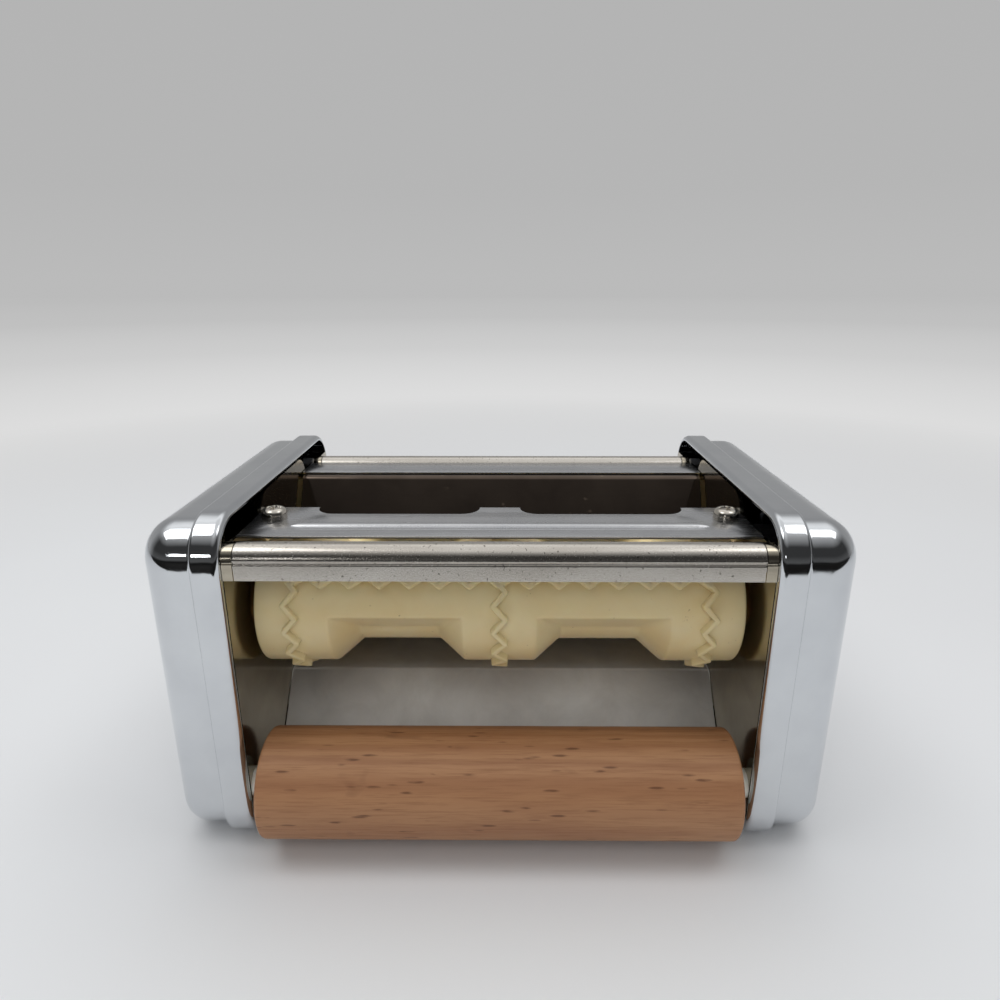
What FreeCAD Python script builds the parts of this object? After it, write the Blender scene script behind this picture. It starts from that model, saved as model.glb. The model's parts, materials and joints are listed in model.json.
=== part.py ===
import FreeCAD, Part
import math
import os

from FreeCAD import Vector

# A ravioli attachment for a roller pasta machine: two chromed end covers, a sheet steel frame
# between them, two geared ravioli rollers and a free-turning wooden roller at the outlet.
# X runs across the machine and Z up. While it is modelled, y = 0 is the front plane of the covers
# and z = 0 the table top. At export everything is moved so that the origin lies under the middle
# of the whole machine. All sizes are in millimetres.

# Width between the covers and the covers themselves
inner_half_width = 78.5
cover_depth = 126.0
cover_height = 110.5
cover_corner_radius = 14.0
band_width = 8.75
band_step = 2.2
body_width = 16.45
body_edge_radius = 9.5
cover_wall = 2.1
lip_radius = 2.0

# Clearances and sheet thicknesses
plate_recess = -0.1
lip_clearance = 0.3
side_plate_thickness = 1.2
sheet = 0.8
table_sheet = 0.8
table_edge_radius = 0.36
seam_gap = 0.2
running_clearance = 0.05
fixed_clearance = 0.05
face_clearance = 0.2

# Ravioli rollers
front_roller_y = 33.7
front_roller_z = 73.0
roller_radius = 20.5
roller_half_length = 75.6
ridge_height = 2.2
ridge_width = 1.5
ridge_root = 0.6
ridge_overlap = 0.45
nip_gap = 0.2
zigzag_amplitude = 1.9
teeth_across = 7
teeth_around = 16
ravioli_width = 64.4
cross_ridge_angle = 38.7
zigzag_phase = 29.4
pocket_floor_radius = 13.4
pocket_half_width = 20.8
pocket_floor_half_width = 12.75
pocket_edge_angle = 58.5
pocket_foot_angle = 33.3
roller_end_radius = 0.8

# Roller shafts, bushes, gears and their fixings
shaft_radius = 6.0
journal_radius = 5.0
journal_overhang = 1.5
bush_wall = 2.0
bush_flange_radius = 9.5
bush_flange_thickness = 2.2
bush_length = 5.4
gear_teeth = 24
gear_width = 8.0
gear_pressure_angle = 20.0
gear_backlash = 0.12
gear_hub_radius = 9.5
gear_hub_length = 2.0
gear_recess_depth = 2.0
gear_rim = 2.5
gear_hub_relief = 0.5
gear_addendum = 0.95
gear_dedendum = 1.25
gear_flank_points = 6
flat_depth = 1.0
clip_radius = 7.6
clip_thickness = 0.9
clip_groove_radius = 4.2
clip_play = 0.05
clip_mouth_half = 3.4
drive_pin_radius = 1.5
drive_pin_half_length = 9.0
drive_slot_depth = 4.0
socket_radius = 3.0
socket_depth = 14.0
socket_slot_width = 1.6
socket_slot_depth = 3.0
crank_hole_radius = 7.5
crank_collar_wall = 1.8
crank_collar_height = 1.2
crank_collar_edge = 0.95

# Rails, tables, guide and chute
front_rail_y = 6.5
rear_rail_y = 106.5
rail_centre_z = 98.3
rail_radius = 4.8
rail_skirt_bottom = 93.0
rail_skirt_setback = 0.15
rail_groove_depth = 0.55
rail_groove_height = 0.8
rail_back_bottom = 94.2
rail_tab_length = 3.2
fixing_tab_gap = 1.0
fixing_tab_clearance = 0.5
table_top = 102.0
front_table_front = 14.3
front_table_back = 41.5
notch_depth = 6.7
notch_inner_x = 6.7
notch_outer_x = 60.0
notch_corner = 6.0
rib_y = 25.0
rib_half_length = 65.0
rib_width = 4.4
rib_height = 0.7
rib_end_radius = 2.1
rib_crown_radius = 0.6
rear_table_front = 85.5
rear_table_back = 99.5
guide_bend_y = 84.5
guide_bend_radius = 1.8
guide_bend_steps = 6
guide_slope = 60.0
guide_gap = 0.8
guide_side_gap = 1.0
guide_back_setback = 1.0
lug_front_y = 37.0
lug_back_y = 90.0
lug_top = 107.6
lug_corner = 8.0
fixing_tab_reach = 10.5
fixing_tab_length = 13.0
chute_edge_y = 52.0
chute_edge_z = 34.5
chute_lip_y = 27.0
chute_lip_z = 9.0
chute_back_z = 36.0
chute_back_foot = 8.0
chute_back_gap = 1.2
chute_tab_length = 9.0
chute_tab_overhang = 0.8

# Fasteners
table_screw_inset = 6.4
table_screw_y = 31.5
table_screw_head_radius = 4.0
table_screw_head_height = 3.4
table_screw_head_edge = 1.95
table_screw_shank_radius = 2.0
table_screw_length = 6.0
cross_recess_width = 1.1
cross_recess_length = 4.2
cross_recess_depth = 1.2
tie_rod_radius = 3.9
tie_rod_thread_radius = 2.0
rod_overhang = 1.0
nut_across_flats = 7.0
nut_height = 4.0
lower_tie_rods = ((56.0, 10.0), (102.0, 16.0))
cover_fixings = ((115.5, 88.0), (112.0, 26.0), (42.0, 9.0))
boss_radius = 3.6
boss_hole_radius = 1.25
boss_hole_depth = 12.0
cover_screw_head_radius = 2.7
cover_screw_head_height = 1.8
cover_screw_head_edge = 1.1
cover_screw_slot_width = 0.8
cover_screw_slot_length = 3.2
cover_screw_slot_depth = 0.8
cover_screw_thread_gap = 1.0
cover_screw_hole_clearance = 0.3

# Wooden roller
wood_roller_y = 7.0
wood_roller_z = 20.6
wood_roller_radius = 17.0
wood_roller_half_length = 73.5
wood_roller_edge = 1.2
wood_axle_radius = 3.0
wood_axle_thread_radius = 2.0
axle_spacer_wall = 1.5
wood_bush_radius = 5.0
wood_bush_length = 12.0
wood_bush_flange_radius = 7.5
wood_bush_flange = 1.5
wood_bore_radius = 3.8

# Values that follow from the ones above. The rear roller sits lower than the front one, so that the
# parcels leave the nip towards the outlet; one gear tooth's step keeps both gears in the same phase.
plate_inner_x = inner_half_width + plate_recess
plate_outer_x = plate_inner_x + side_plate_thickness
table_screw_x = plate_inner_x - table_screw_inset
band_outer_x = inner_half_width + band_width
cover_outer_x = band_outer_x + body_width
roller_tip_radius = roller_radius + ridge_height
roller_distance = 2 * roller_tip_radius + nip_gap
roller_tilt = math.radians(360.0 / gear_teeth)
rear_roller_y = front_roller_y + roller_distance * math.cos(roller_tilt)
rear_roller_z = front_roller_z - roller_distance * math.sin(roller_tilt)
middle_y = (front_rail_y + rear_rail_y) / 2
rear_tab_start = max(rear_table_front, lug_back_y) + fixing_tab_gap
tie_rods = ((front_rail_y, rail_centre_z), (rear_rail_y, rail_centre_z)) + lower_tie_rods
gear_module = roller_distance / gear_teeth
bush_radius = journal_radius + running_clearance + bush_wall
gear_start_x = plate_inner_x + bush_length + face_clearance
gear_end_x = gear_start_x + gear_width
hub_end_x = gear_end_x + gear_hub_length
rod_end_x = plate_outer_x + nut_height + rod_overhang
chute_back_y = rear_rail_y + rail_radius - rail_skirt_setback - sheet - chute_back_gap
table_bottom = table_top - table_sheet
wall_inset = cover_wall + lip_clearance
machine_front = min(0.0, wood_roller_y - wood_roller_radius)
origin_y = (machine_front + cover_depth) / 2
half_step = 180.0 / teeth_around
beyond = 1.0

UP = Vector(0, 0, 1)
ACROSS = Vector(1, 0, 0)


def rod_x(y, z, radius, x0, x1):
    """A round bar along X from x0 to x1."""
    return Part.makeCylinder(radius, x1 - x0, Vector(x0, y, z), ACROSS)


def box(x0, x1, y0, y1, z0, z1):
    return Part.makeBox(x1 - x0, y1 - y0, z1 - z0, Vector(x0, y0, z0))


def prism_x(points, x0, x1):
    """A polygon of (y, z) points, drawn out along X from x0 to x1."""
    corners = [Vector(x0, y, z) for y, z in points]
    face = Part.Face(Part.makePolygon(corners + corners[:1]))
    return face.extrude(Vector(x1 - x0, 0, 0))


def rounded_slab(y0, y1, z0, z1, radius, x0, x1):
    """A rectangle in Y and Z with rounded corners, drawn out along X."""
    slab = box(x0, x1, y0, y1, z0, z1)
    corners = [e for e in slab.Edges
               if abs(e.Length - (x1 - x0)) < 1e-6 and e.tangentAt(0).cross(ACROSS).Length < 1e-6]
    return slab.makeFillet(radius, corners)


def fuse(shapes):
    result = shapes[0].multiFuse(shapes[1:]) if len(shapes) > 1 else shapes[0]
    return result.removeSplitter()


def mirrored(shape):
    """The same piece on the other side of the machine."""
    return shape.mirror(Vector(0, 0, 0), ACROSS)


def at_back(shape):
    """The same piece reflected in the upright plane midway between the two rails."""
    return shape.mirror(Vector(0, middle_y, 0), Vector(0, 1, 0))


def at_rear_roller(shape):
    """The same piece reflected in the plane through the nip, square to the line of roller centres."""
    nip = Vector(0, (front_roller_y + rear_roller_y) / 2, (front_roller_z + rear_roller_z) / 2)
    return shape.mirror(nip, Vector(0, math.cos(roller_tilt), -math.sin(roller_tilt)))


def edges_at_x(shape, x):
    """Edges that lie wholly in the plane at x."""
    return [e for e in shape.Edges
            if abs(e.BoundBox.XMin - x) < 1e-4 and abs(e.BoundBox.XMax - x) < 1e-4]


def sheet_along(points, thickness, x0, x1):
    """Bent sheet: a band below the polyline of (y, z) points, drawn out along X."""
    offsets = []
    count = len(points)
    for index in range(count):
        before = points[max(index - 1, 0)]
        here = points[index]
        after = points[min(index + 1, count - 1)]
        normals = []
        for a, b in ((before, here), (here, after)):
            length = math.hypot(b[0] - a[0], b[1] - a[1])
            if length > 1e-9:
                normals.append((-(b[1] - a[1]) / length, (b[0] - a[0]) / length))
        ny = sum(n[0] for n in normals) / len(normals)
        nz = sum(n[1] for n in normals) / len(normals)
        scale = thickness / (ny * ny + nz * nz)
        offsets.append((here[0] + ny * scale, here[1] + nz * scale))
    return prism_x(list(points) + offsets[::-1], x0, x1)


def cover():
    """Right-hand cover: a rounded shell with a raised band at its open inner edge."""
    body = rounded_slab(band_step, cover_depth - band_step, band_step, cover_height - band_step,
                        cover_corner_radius - band_step, inner_half_width, cover_outer_x)
    body = body.makeFillet(body_edge_radius, edges_at_x(body, cover_outer_x))
    band = rounded_slab(0, cover_depth, 0, cover_height, cover_corner_radius,
                        inner_half_width, band_outer_x)
    band = band.makeFillet(lip_radius, edges_at_x(band, inner_half_width))
    hollow_inset = band_step + cover_wall
    hollow_end_x = cover_outer_x - cover_wall
    hollow = rounded_slab(hollow_inset, cover_depth - hollow_inset, hollow_inset,
                          cover_height - hollow_inset, cover_corner_radius - hollow_inset,
                          inner_half_width, hollow_end_x)
    hollow = hollow.makeFillet(body_edge_radius - cover_wall, edges_at_x(hollow, hollow_end_x))
    mouth = rounded_slab(cover_wall, cover_depth - cover_wall, cover_wall, cover_height - cover_wall,
                         cover_corner_radius - cover_wall, inner_half_width - lip_radius,
                         band_outer_x - cover_wall)
    shell = fuse([body, band]).cut(hollow).cut(mouth)
    boss_end_x = cover_outer_x - cover_wall / 2
    bosses = [rod_x(y, z, boss_radius, plate_outer_x, boss_end_x) for y, z in cover_fixings]
    shell = fuse([shell] + bosses)
    for y, z in cover_fixings:
        shell = shell.cut(rod_x(y, z, boss_hole_radius, plate_outer_x - beyond,
                                plate_outer_x + boss_hole_depth))
    return shell


def crank_cover():
    """The cover on the drive side has a collared hole in line with the driven shaft."""
    collar = rod_x(front_roller_y, front_roller_z, crank_hole_radius + crank_collar_wall,
                   cover_outer_x - cover_wall, cover_outer_x + crank_collar_height)
    collar = collar.makeFillet(crank_collar_edge,
                               edges_at_x(collar, cover_outer_x + crank_collar_height))
    hole = rod_x(front_roller_y, front_roller_z, crank_hole_radius,
                 cover_outer_x - cover_wall - beyond, cover_outer_x + crank_collar_height + beyond)
    return fuse([cover(), collar]).cut(hole)


def rail_section(x0, x1):
    """Front rail as bent sheet: a flat skirt, a creased groove and a rolled bead."""
    front = front_rail_y - rail_radius
    skirt_y = front + rail_skirt_setback
    groove_top = rail_centre_z + rail_groove_height / 2
    groove_bottom = rail_centre_z - rail_groove_height / 2
    bead = rod_x(front_rail_y, rail_centre_z, rail_radius, x0, x1)
    bead = bead.cut(rod_x(front_rail_y, rail_centre_z, rail_radius - sheet, x0, x1))
    bead = bead.cut(box(x0, x1, front - beyond, front_rail_y + rail_radius + beyond,
                        rail_centre_z - rail_radius - beyond, rail_centre_z))
    groove_y = front + rail_groove_depth
    groove = box(x0, x1, front - beyond, groove_y, groove_bottom, groove_top)
    web = box(x0, x1, groove_y, groove_y + sheet, groove_bottom - sheet / 2, groove_top + sheet / 2)
    skirt = box(x0, x1, skirt_y, skirt_y + sheet, rail_skirt_bottom, rail_centre_z)
    back_y = front_rail_y + rail_radius
    back = box(x0, x1, back_y - sheet, back_y, rail_back_bottom, rail_centre_z)
    core = rod_x(front_rail_y, rail_centre_z, tie_rod_radius + fixed_clearance, x0, x1)
    return fuse([bead, web, skirt, back]).cut(groove).cut(core)


def plate_outline(x0, x1):
    """Side plate seen from the side: low under the tables, with a raised lug at the feed opening."""
    radius = cover_corner_radius - wall_inset
    blank = rounded_slab(wall_inset, cover_depth - wall_inset, wall_inset, cover_height - wall_inset,
                         radius, x0, x1)
    low = blank.cut(box(x0 - beyond, x1 + beyond, 0, cover_depth, table_bottom, cover_height))
    lug = rounded_slab(lug_front_y, lug_back_y, table_bottom - 2 * lug_corner, lug_top, lug_corner,
                       x0, x1)
    return fuse([low, lug])


def fixing_tab(y0, y1):
    """A tab bent inwards from the side plate, which a table lies on."""
    return box(plate_inner_x - fixing_tab_reach, plate_outer_x, y0, y1,
               table_bottom - sheet, table_bottom)


def through_plate(y, z, radius):
    """A bar that cuts a round hole in the right side plate."""
    return rod_x(y, z, radius, plate_inner_x - beyond, plate_outer_x + beyond)


def screw_hole_through_table():
    """A bar that cuts the right table screw's hole in the table and in the tab below it."""
    base = Vector(table_screw_x, table_screw_y, table_bottom - sheet - beyond)
    length = sheet + table_sheet + 2 * beyond
    return Part.makeCylinder(table_screw_shank_radius + fixed_clearance, length, base, UP)


def side_plate():
    """Right-hand side plate with its bent tabs and every hole."""
    plate = plate_outline(plate_inner_x, plate_outer_x)
    tab_start = plate_inner_x - rail_tab_length + seam_gap
    tab = rail_section(tab_start, plate_inner_x)
    front_tab_end = min(table_screw_y + fixing_tab_length / 2, lug_front_y)
    front_tab = fixing_tab(table_screw_y - fixing_tab_length / 2, front_tab_end)
    rear_tab = fixing_tab(rear_tab_start, rear_table_back)
    plate = fuse([plate, tab, at_back(tab), front_tab, rear_tab])
    for y, z in ((front_roller_y, front_roller_z), (rear_roller_y, rear_roller_z)):
        plate = plate.cut(through_plate(y, z, bush_radius + fixed_clearance))
    for y, z in tie_rods:
        plate = plate.cut(through_plate(y, z, tie_rod_thread_radius + fixed_clearance))
    for y, z in cover_fixings:
        plate = plate.cut(through_plate(y, z, boss_hole_radius + cover_screw_hole_clearance))
    axle_hole = through_plate(wood_roller_y, wood_roller_z, wood_axle_thread_radius + fixed_clearance)
    screw_hole = screw_hole_through_table()
    for slot in chute_tabs(fixed_clearance * 2):
        plate = plate.cut(slot)
    return plate.cut(axle_hole).cut(screw_hole)


def rail():
    half = plate_inner_x - rail_tab_length
    return rail_section(-half, half)


def notch(sign):
    """One of the two shallow cut-outs in the back edge of the front table, with rounded ends."""
    x0, x1 = sorted((sign * notch_inner_x, sign * notch_outer_x))
    depth_y = front_table_back - notch_depth
    cut = box(x0, x1, depth_y, front_table_back + notch_depth, table_bottom - beyond, table_top + beyond)
    upright = [e for e in cut.Edges if abs(e.Vertexes[0].Z - e.Vertexes[1].Z) > table_sheet]
    inner = [e for e in upright if e.Vertexes[0].Y < front_table_back]
    return cut.makeFillet(notch_corner, inner)


def front_table():
    half = plate_inner_x - face_clearance
    plate = box(-half, half, front_table_front, front_table_back, table_bottom, table_top)
    front_edges = [e for e in plate.Edges
                   if e.BoundBox.YMax < front_table_front + 1e-6 and e.Length > half]
    plate = plate.makeFillet(table_edge_radius, front_edges)
    for sign in (-1, 1):
        plate = plate.cut(notch(sign))
    rib = box(-rib_half_length, rib_half_length, rib_y - rib_width / 2, rib_y + rib_width / 2,
              table_bottom + table_sheet / 2, table_top + rib_height)
    upright = [e for e in rib.Edges if abs(e.Vertexes[0].Z - e.Vertexes[1].Z) > 1e-3]
    rib = rib.makeFillet(rib_end_radius, upright)
    crown = [e for e in rib.Edges if e.BoundBox.ZMin > table_top + rib_height - 1e-4]
    rib = rib.makeFillet(rib_crown_radius, crown)
    plate = fuse([plate, rib])
    hole = screw_hole_through_table()
    return plate.cut(hole).cut(mirrored(hole))


def table_screw():
    """Pan-head screw with a cross recess, on the right."""
    head_base = Vector(table_screw_x, table_screw_y, table_top)
    head = Part.makeCylinder(table_screw_head_radius, table_screw_head_height, head_base, UP)
    rim = [e for e in head.Edges if e.BoundBox.ZMin > table_top + table_screw_head_height - 1e-4]
    head = head.makeFillet(table_screw_head_edge, rim)
    shank = Part.makeCylinder(table_screw_shank_radius, table_screw_length,
                              Vector(table_screw_x, table_screw_y, table_top - table_screw_length), UP)
    screw = fuse([head, shank])
    top = table_top + table_screw_head_height
    arm = cross_recess_length / 2
    rib = cross_recess_width / 2
    for reach_x, reach_y in ((arm, rib), (rib, arm)):
        screw = screw.cut(box(table_screw_x - reach_x, table_screw_x + reach_x,
                              table_screw_y - reach_y, table_screw_y + reach_y,
                              top - cross_recess_depth, top + beyond))
    return screw


def rear_table():
    half = plate_inner_x - face_clearance
    plate = box(-half, half, rear_table_front, rear_table_back, table_bottom, table_top)
    edges = [e for e in plate.Edges if e.BoundBox.YMax < rear_table_front + 1e-6 and e.Length > half]
    return plate.makeFillet(table_edge_radius, edges)


def guide_path():
    """Lower surface of the guide, from its end above the rear roller to its flat top."""
    slope = math.radians(guide_slope)
    flat_z = table_bottom - sheet
    centre_z = flat_z - guide_bend_radius
    bend = []
    for index in range(guide_bend_steps + 1):
        angle = math.pi / 2 + slope * (1 - index / guide_bend_steps)
        bend.append((guide_bend_y + guide_bend_radius * math.cos(angle),
                     centre_z + guide_bend_radius * math.sin(angle)))
    from_axis_y = bend[0][0] - rear_roller_y
    from_axis_z = bend[0][1] - rear_roller_z
    along = from_axis_y * math.cos(slope) + from_axis_z * math.sin(slope)
    reach = roller_tip_radius + guide_gap
    length = along - math.sqrt(along ** 2 - from_axis_y ** 2 - from_axis_z ** 2 + reach ** 2)
    lower_end = (bend[0][0] - length * math.cos(slope), bend[0][1] - length * math.sin(slope))
    return [lower_end] + bend + [(rear_table_back - guide_back_setback, flat_z)]


def guide_plate():
    """Sheet under the rear table that bends steeply down to just above the rear roller."""
    half = plate_inner_x - guide_side_gap
    plate = sheet_along(guide_path(), sheet, -half, half)
    tab_room = box(plate_inner_x - fixing_tab_reach - face_clearance, plate_outer_x,
                   rear_tab_start - fixing_tab_clearance, rear_table_back + beyond,
                   table_bottom - 2 * sheet - beyond, table_bottom + beyond)
    return plate.cut(tab_room).cut(mirrored(tab_room))


def slanted_box(y, z, direction, length, thickness, x0, x1):
    """A flat bar seen end on: length along the direction in degrees, centred on (y, z)."""
    bar = box(x0, x1, -length / 2, length / 2, -thickness / 2, thickness / 2)
    bar.rotate(Vector(0, 0, 0), ACROSS, direction)
    bar.translate(Vector(0, y, z))
    return bar


def chute_path():
    """Upper surface of the chute, from the top of its back wall to its front edge."""
    top_z = rail_centre_z - rail_radius - face_clearance
    return [(chute_back_y, top_z), (chute_back_y, chute_back_z),
            (chute_back_y - chute_back_foot, chute_back_z), (chute_edge_y, chute_edge_z),
            (chute_lip_y, chute_lip_z)]


def chute_tabs(clearance):
    """Tabs that carry the chute in slots of the right side plate, grown by the clearance."""
    path = chute_path()
    tabs = []
    for a, b in ((path[0], path[1]), (path[2], path[3]), (path[3], path[4])):
        run_y = b[0] - a[0]
        run_z = b[1] - a[1]
        length = math.hypot(run_y, run_z)
        middle_y = (a[0] + b[0]) / 2 - run_z / length * sheet / 2
        middle_z = (a[1] + b[1]) / 2 + run_y / length * sheet / 2
        direction = math.degrees(math.atan2(run_z, run_y))
        tabs.append(slanted_box(middle_y, middle_z, direction, chute_tab_length + 2 * clearance,
                                sheet + 2 * clearance, plate_inner_x - 2 * face_clearance,
                                plate_outer_x + chute_tab_overhang))
    return tabs


def discharge_chute():
    """Bent sheet below the rollers: a back wall, a gentle slope and a steep face."""
    half = plate_inner_x - face_clearance
    chute = sheet_along(chute_path(), sheet, -half, half)
    crease = []
    for edge in chute.Edges:
        off_y = edge.BoundBox.YMin - chute_edge_y
        off_z = edge.BoundBox.ZMin - chute_edge_z
        if math.hypot(off_y, off_z) < sheet / 2 and edge.Length > half:
            crease.append(edge)
    return fuse([chute.makeFillet(sheet / 2, crease)] + with_mirror(chute_tabs(0)))


def ridge_bar(start, end):
    """One straight stretch of a cutting ridge between two (angle, x) points on the roller."""
    middle = math.radians((start[0] + end[0]) / 2)
    outward = Vector(0, -math.cos(middle), math.sin(middle))
    around = Vector(0, math.sin(middle), math.cos(middle))
    run_around = math.radians(end[0] - start[0]) * roller_tip_radius
    run = around * run_around + ACROSS * (end[1] - start[1])
    length = run.Length + 2 * ridge_overlap
    crown = math.sqrt(roller_tip_radius ** 2 - (abs(run_around) / 2 + 2 * ridge_overlap) ** 2)
    foot = roller_radius - ridge_root
    bar = Part.makeBox(length, ridge_width, crown - foot, Vector(-length / 2, -ridge_width / 2, foot))
    turn = FreeCAD.Rotation(run, outward.cross(run), outward, "ZXY")
    centre = Vector((start[1] + end[1]) / 2, front_roller_y, front_roller_z)
    bar.Placement = FreeCAD.Placement(centre, turn)
    return bar


def cutting_ridges():
    """Zigzag ridges: three rings around the roller and two rows across it."""
    bars = []
    for line in (-1, 0, 1):
        centre = line * ravioli_width
        for step in range(2 * teeth_around):
            side = 1 if step % 2 == 0 else -1
            here = (zigzag_phase - step * half_step, centre + side * zigzag_amplitude)
            after = (zigzag_phase - (step + 1) * half_step, centre - side * zigzag_amplitude)
            bars.append(ridge_bar(here, after))
    swing = math.degrees(zigzag_amplitude / roller_tip_radius)
    pitch = ravioli_width / teeth_across
    for row in (0, 180):
        for step in range(4 * teeth_across):
            side = -1 if step % 2 == 0 else 1
            x = -ravioli_width + step * pitch / 2
            here = (cross_ridge_angle + row + side * swing, x)
            after = (cross_ridge_angle + row - side * swing, x + pitch / 2)
            bars.append(ridge_bar(here, after))
    return bars


def pocket(x_centre, axis_angle):
    """The hollow that shapes one half of a parcel: sloping ends, flat flanks and a rounded floor."""
    reach = roller_tip_radius + 2
    slope = (pocket_half_width - pocket_floor_half_width) / (roller_radius - pocket_floor_radius)
    outer_half = pocket_half_width + slope * (reach - roller_radius)
    floor_z = front_roller_z + pocket_floor_radius
    top_z = front_roller_z + reach
    section = [Vector(x_centre - pocket_floor_half_width, front_roller_y, floor_z),
               Vector(x_centre + pocket_floor_half_width, front_roller_y, floor_z),
               Vector(x_centre + outer_half, front_roller_y, top_z),
               Vector(x_centre - outer_half, front_roller_y, top_z)]
    ring = Part.Face(Part.makePolygon(section + section[:1]))
    ring = ring.revolve(Vector(0, front_roller_y, front_roller_z), ACROSS, 360)
    edge_t = roller_radius * math.sin(math.radians(pocket_edge_angle))
    edge_n = roller_radius * math.cos(math.radians(pocket_edge_angle))
    foot_t = pocket_floor_radius * math.sin(math.radians(pocket_foot_angle))
    foot_n = pocket_floor_radius * math.cos(math.radians(pocket_foot_angle))
    fall = (foot_n - edge_n) / (edge_t - foot_t)
    far_t = 2 * roller_tip_radius
    outline = [(-far_t, edge_n - fall * (far_t - edge_t)), (0, foot_n + fall * foot_t),
               (far_t, edge_n - fall * (far_t - edge_t)), (far_t, 2 * far_t), (-far_t, 2 * far_t)]
    turn = math.radians(axis_angle)
    points = []
    for t, n in outline:
        forward = n * math.cos(turn) - t * math.sin(turn)
        upward = n * math.sin(turn) + t * math.cos(turn)
        points.append((front_roller_y - forward, front_roller_z + upward))
    wedge = prism_x(points, x_centre - 2 * pocket_half_width, x_centre + 2 * pocket_half_width)
    return ring.common(wedge)


def ravioli_roller():
    """Front ravioli roller: a moulded drum with four pockets and zigzag cutting ridges."""
    drum = rod_x(front_roller_y, front_roller_z, roller_radius, -roller_half_length, roller_half_length)
    rims = edges_at_x(drum, -roller_half_length) + edges_at_x(drum, roller_half_length)
    drum = drum.makeFillet(roller_end_radius, rims)
    for sign in (-1, 1):
        for axis_angle in (cross_ridge_angle - 90, cross_ridge_angle + 90):
            drum = drum.cut(pocket(sign * ravioli_width / 2, axis_angle))
    drum = fuse([drum] + cutting_ridges())
    bore = rod_x(front_roller_y, front_roller_z, shaft_radius + fixed_clearance,
                 -roller_half_length - beyond, roller_half_length + beyond)
    drum = drum.cut(bore)
    slot_reach = drive_pin_half_length + 2 * fixed_clearance
    slot_half = drive_pin_radius + fixed_clearance
    slot = box(roller_half_length - drive_slot_depth, roller_half_length + beyond,
               front_roller_y - slot_half, front_roller_y + slot_half,
               front_roller_z - slot_reach, front_roller_z + slot_reach)
    return drum.cut(slot).cut(mirrored(slot))


def drive_pin(radius, half_length):
    """Cross pin through the front shaft, which lies in the slot in the roller's right end."""
    x = roller_half_length - drive_slot_depth / 2
    base = Vector(x, front_roller_y, front_roller_z - half_length)
    return Part.makeCylinder(radius, 2 * half_length, base, UP)


def drive_pins():
    return with_mirror([drive_pin(drive_pin_radius, drive_pin_half_length)])


def shaft(driven):
    """Steel shaft of the front roller; the driven one reaches the crank hole and has a socket."""
    y = front_roller_y
    z = front_roller_z
    left_end = -(plate_inner_x + bush_length + face_clearance + clip_thickness + journal_overhang)
    right_end = hub_end_x + clip_thickness + journal_overhang
    if driven:
        right_end = cover_outer_x - cover_wall / 2
    core = rod_x(y, z, shaft_radius, -roller_half_length, roller_half_length)
    journal = rod_x(y, z, journal_radius, left_end, right_end)
    flat = box(gear_start_x, hub_end_x, y + journal_radius - flat_depth, y + journal_radius + beyond,
               z - journal_radius - beyond, z + journal_radius + beyond)
    body = fuse([core, journal]).cut(flat)
    left_groove = -(plate_inner_x + bush_length + face_clearance)
    body = body.cut(clip_groove(left_groove - clip_thickness, left_groove))
    body = body.cut(clip_groove(hub_end_x, hub_end_x + clip_thickness))
    if driven:
        body = body.cut(rod_x(y, z, socket_radius, right_end - socket_depth, right_end + beyond))
        body = body.cut(box(right_end - socket_slot_depth, right_end + beyond,
                            y - journal_radius - beyond, y + journal_radius + beyond,
                            z - socket_slot_width / 2, z + socket_slot_width / 2))
    hole = drive_pin(drive_pin_radius + fixed_clearance, shaft_radius + beyond)
    return body.cut(hole).cut(mirrored(hole))


def clip_groove(x0, x1):
    ring = rod_x(front_roller_y, front_roller_z, journal_radius + beyond, x0, x1)
    return ring.cut(rod_x(front_roller_y, front_roller_z, clip_groove_radius, x0, x1))


def retaining_clip(groove_x):
    """An open spring clip in the shaft groove that starts at groove_x."""
    x0 = groove_x + clip_play
    x1 = groove_x + clip_thickness - clip_play
    ring = rod_x(front_roller_y, front_roller_z, clip_radius, x0, x1)
    ring = ring.cut(rod_x(front_roller_y, front_roller_z, clip_groove_radius + fixed_clearance, x0, x1))
    mouth = box(x0 - beyond, x1 + beyond, front_roller_y - clip_mouth_half,
                front_roller_y + clip_mouth_half, front_roller_z - clip_radius - beyond, front_roller_z)
    return ring.cut(mouth)


def retaining_clips():
    left_groove = -(plate_inner_x + bush_length + face_clearance + clip_thickness)
    return [retaining_clip(left_groove), retaining_clip(hub_end_x)]


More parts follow.
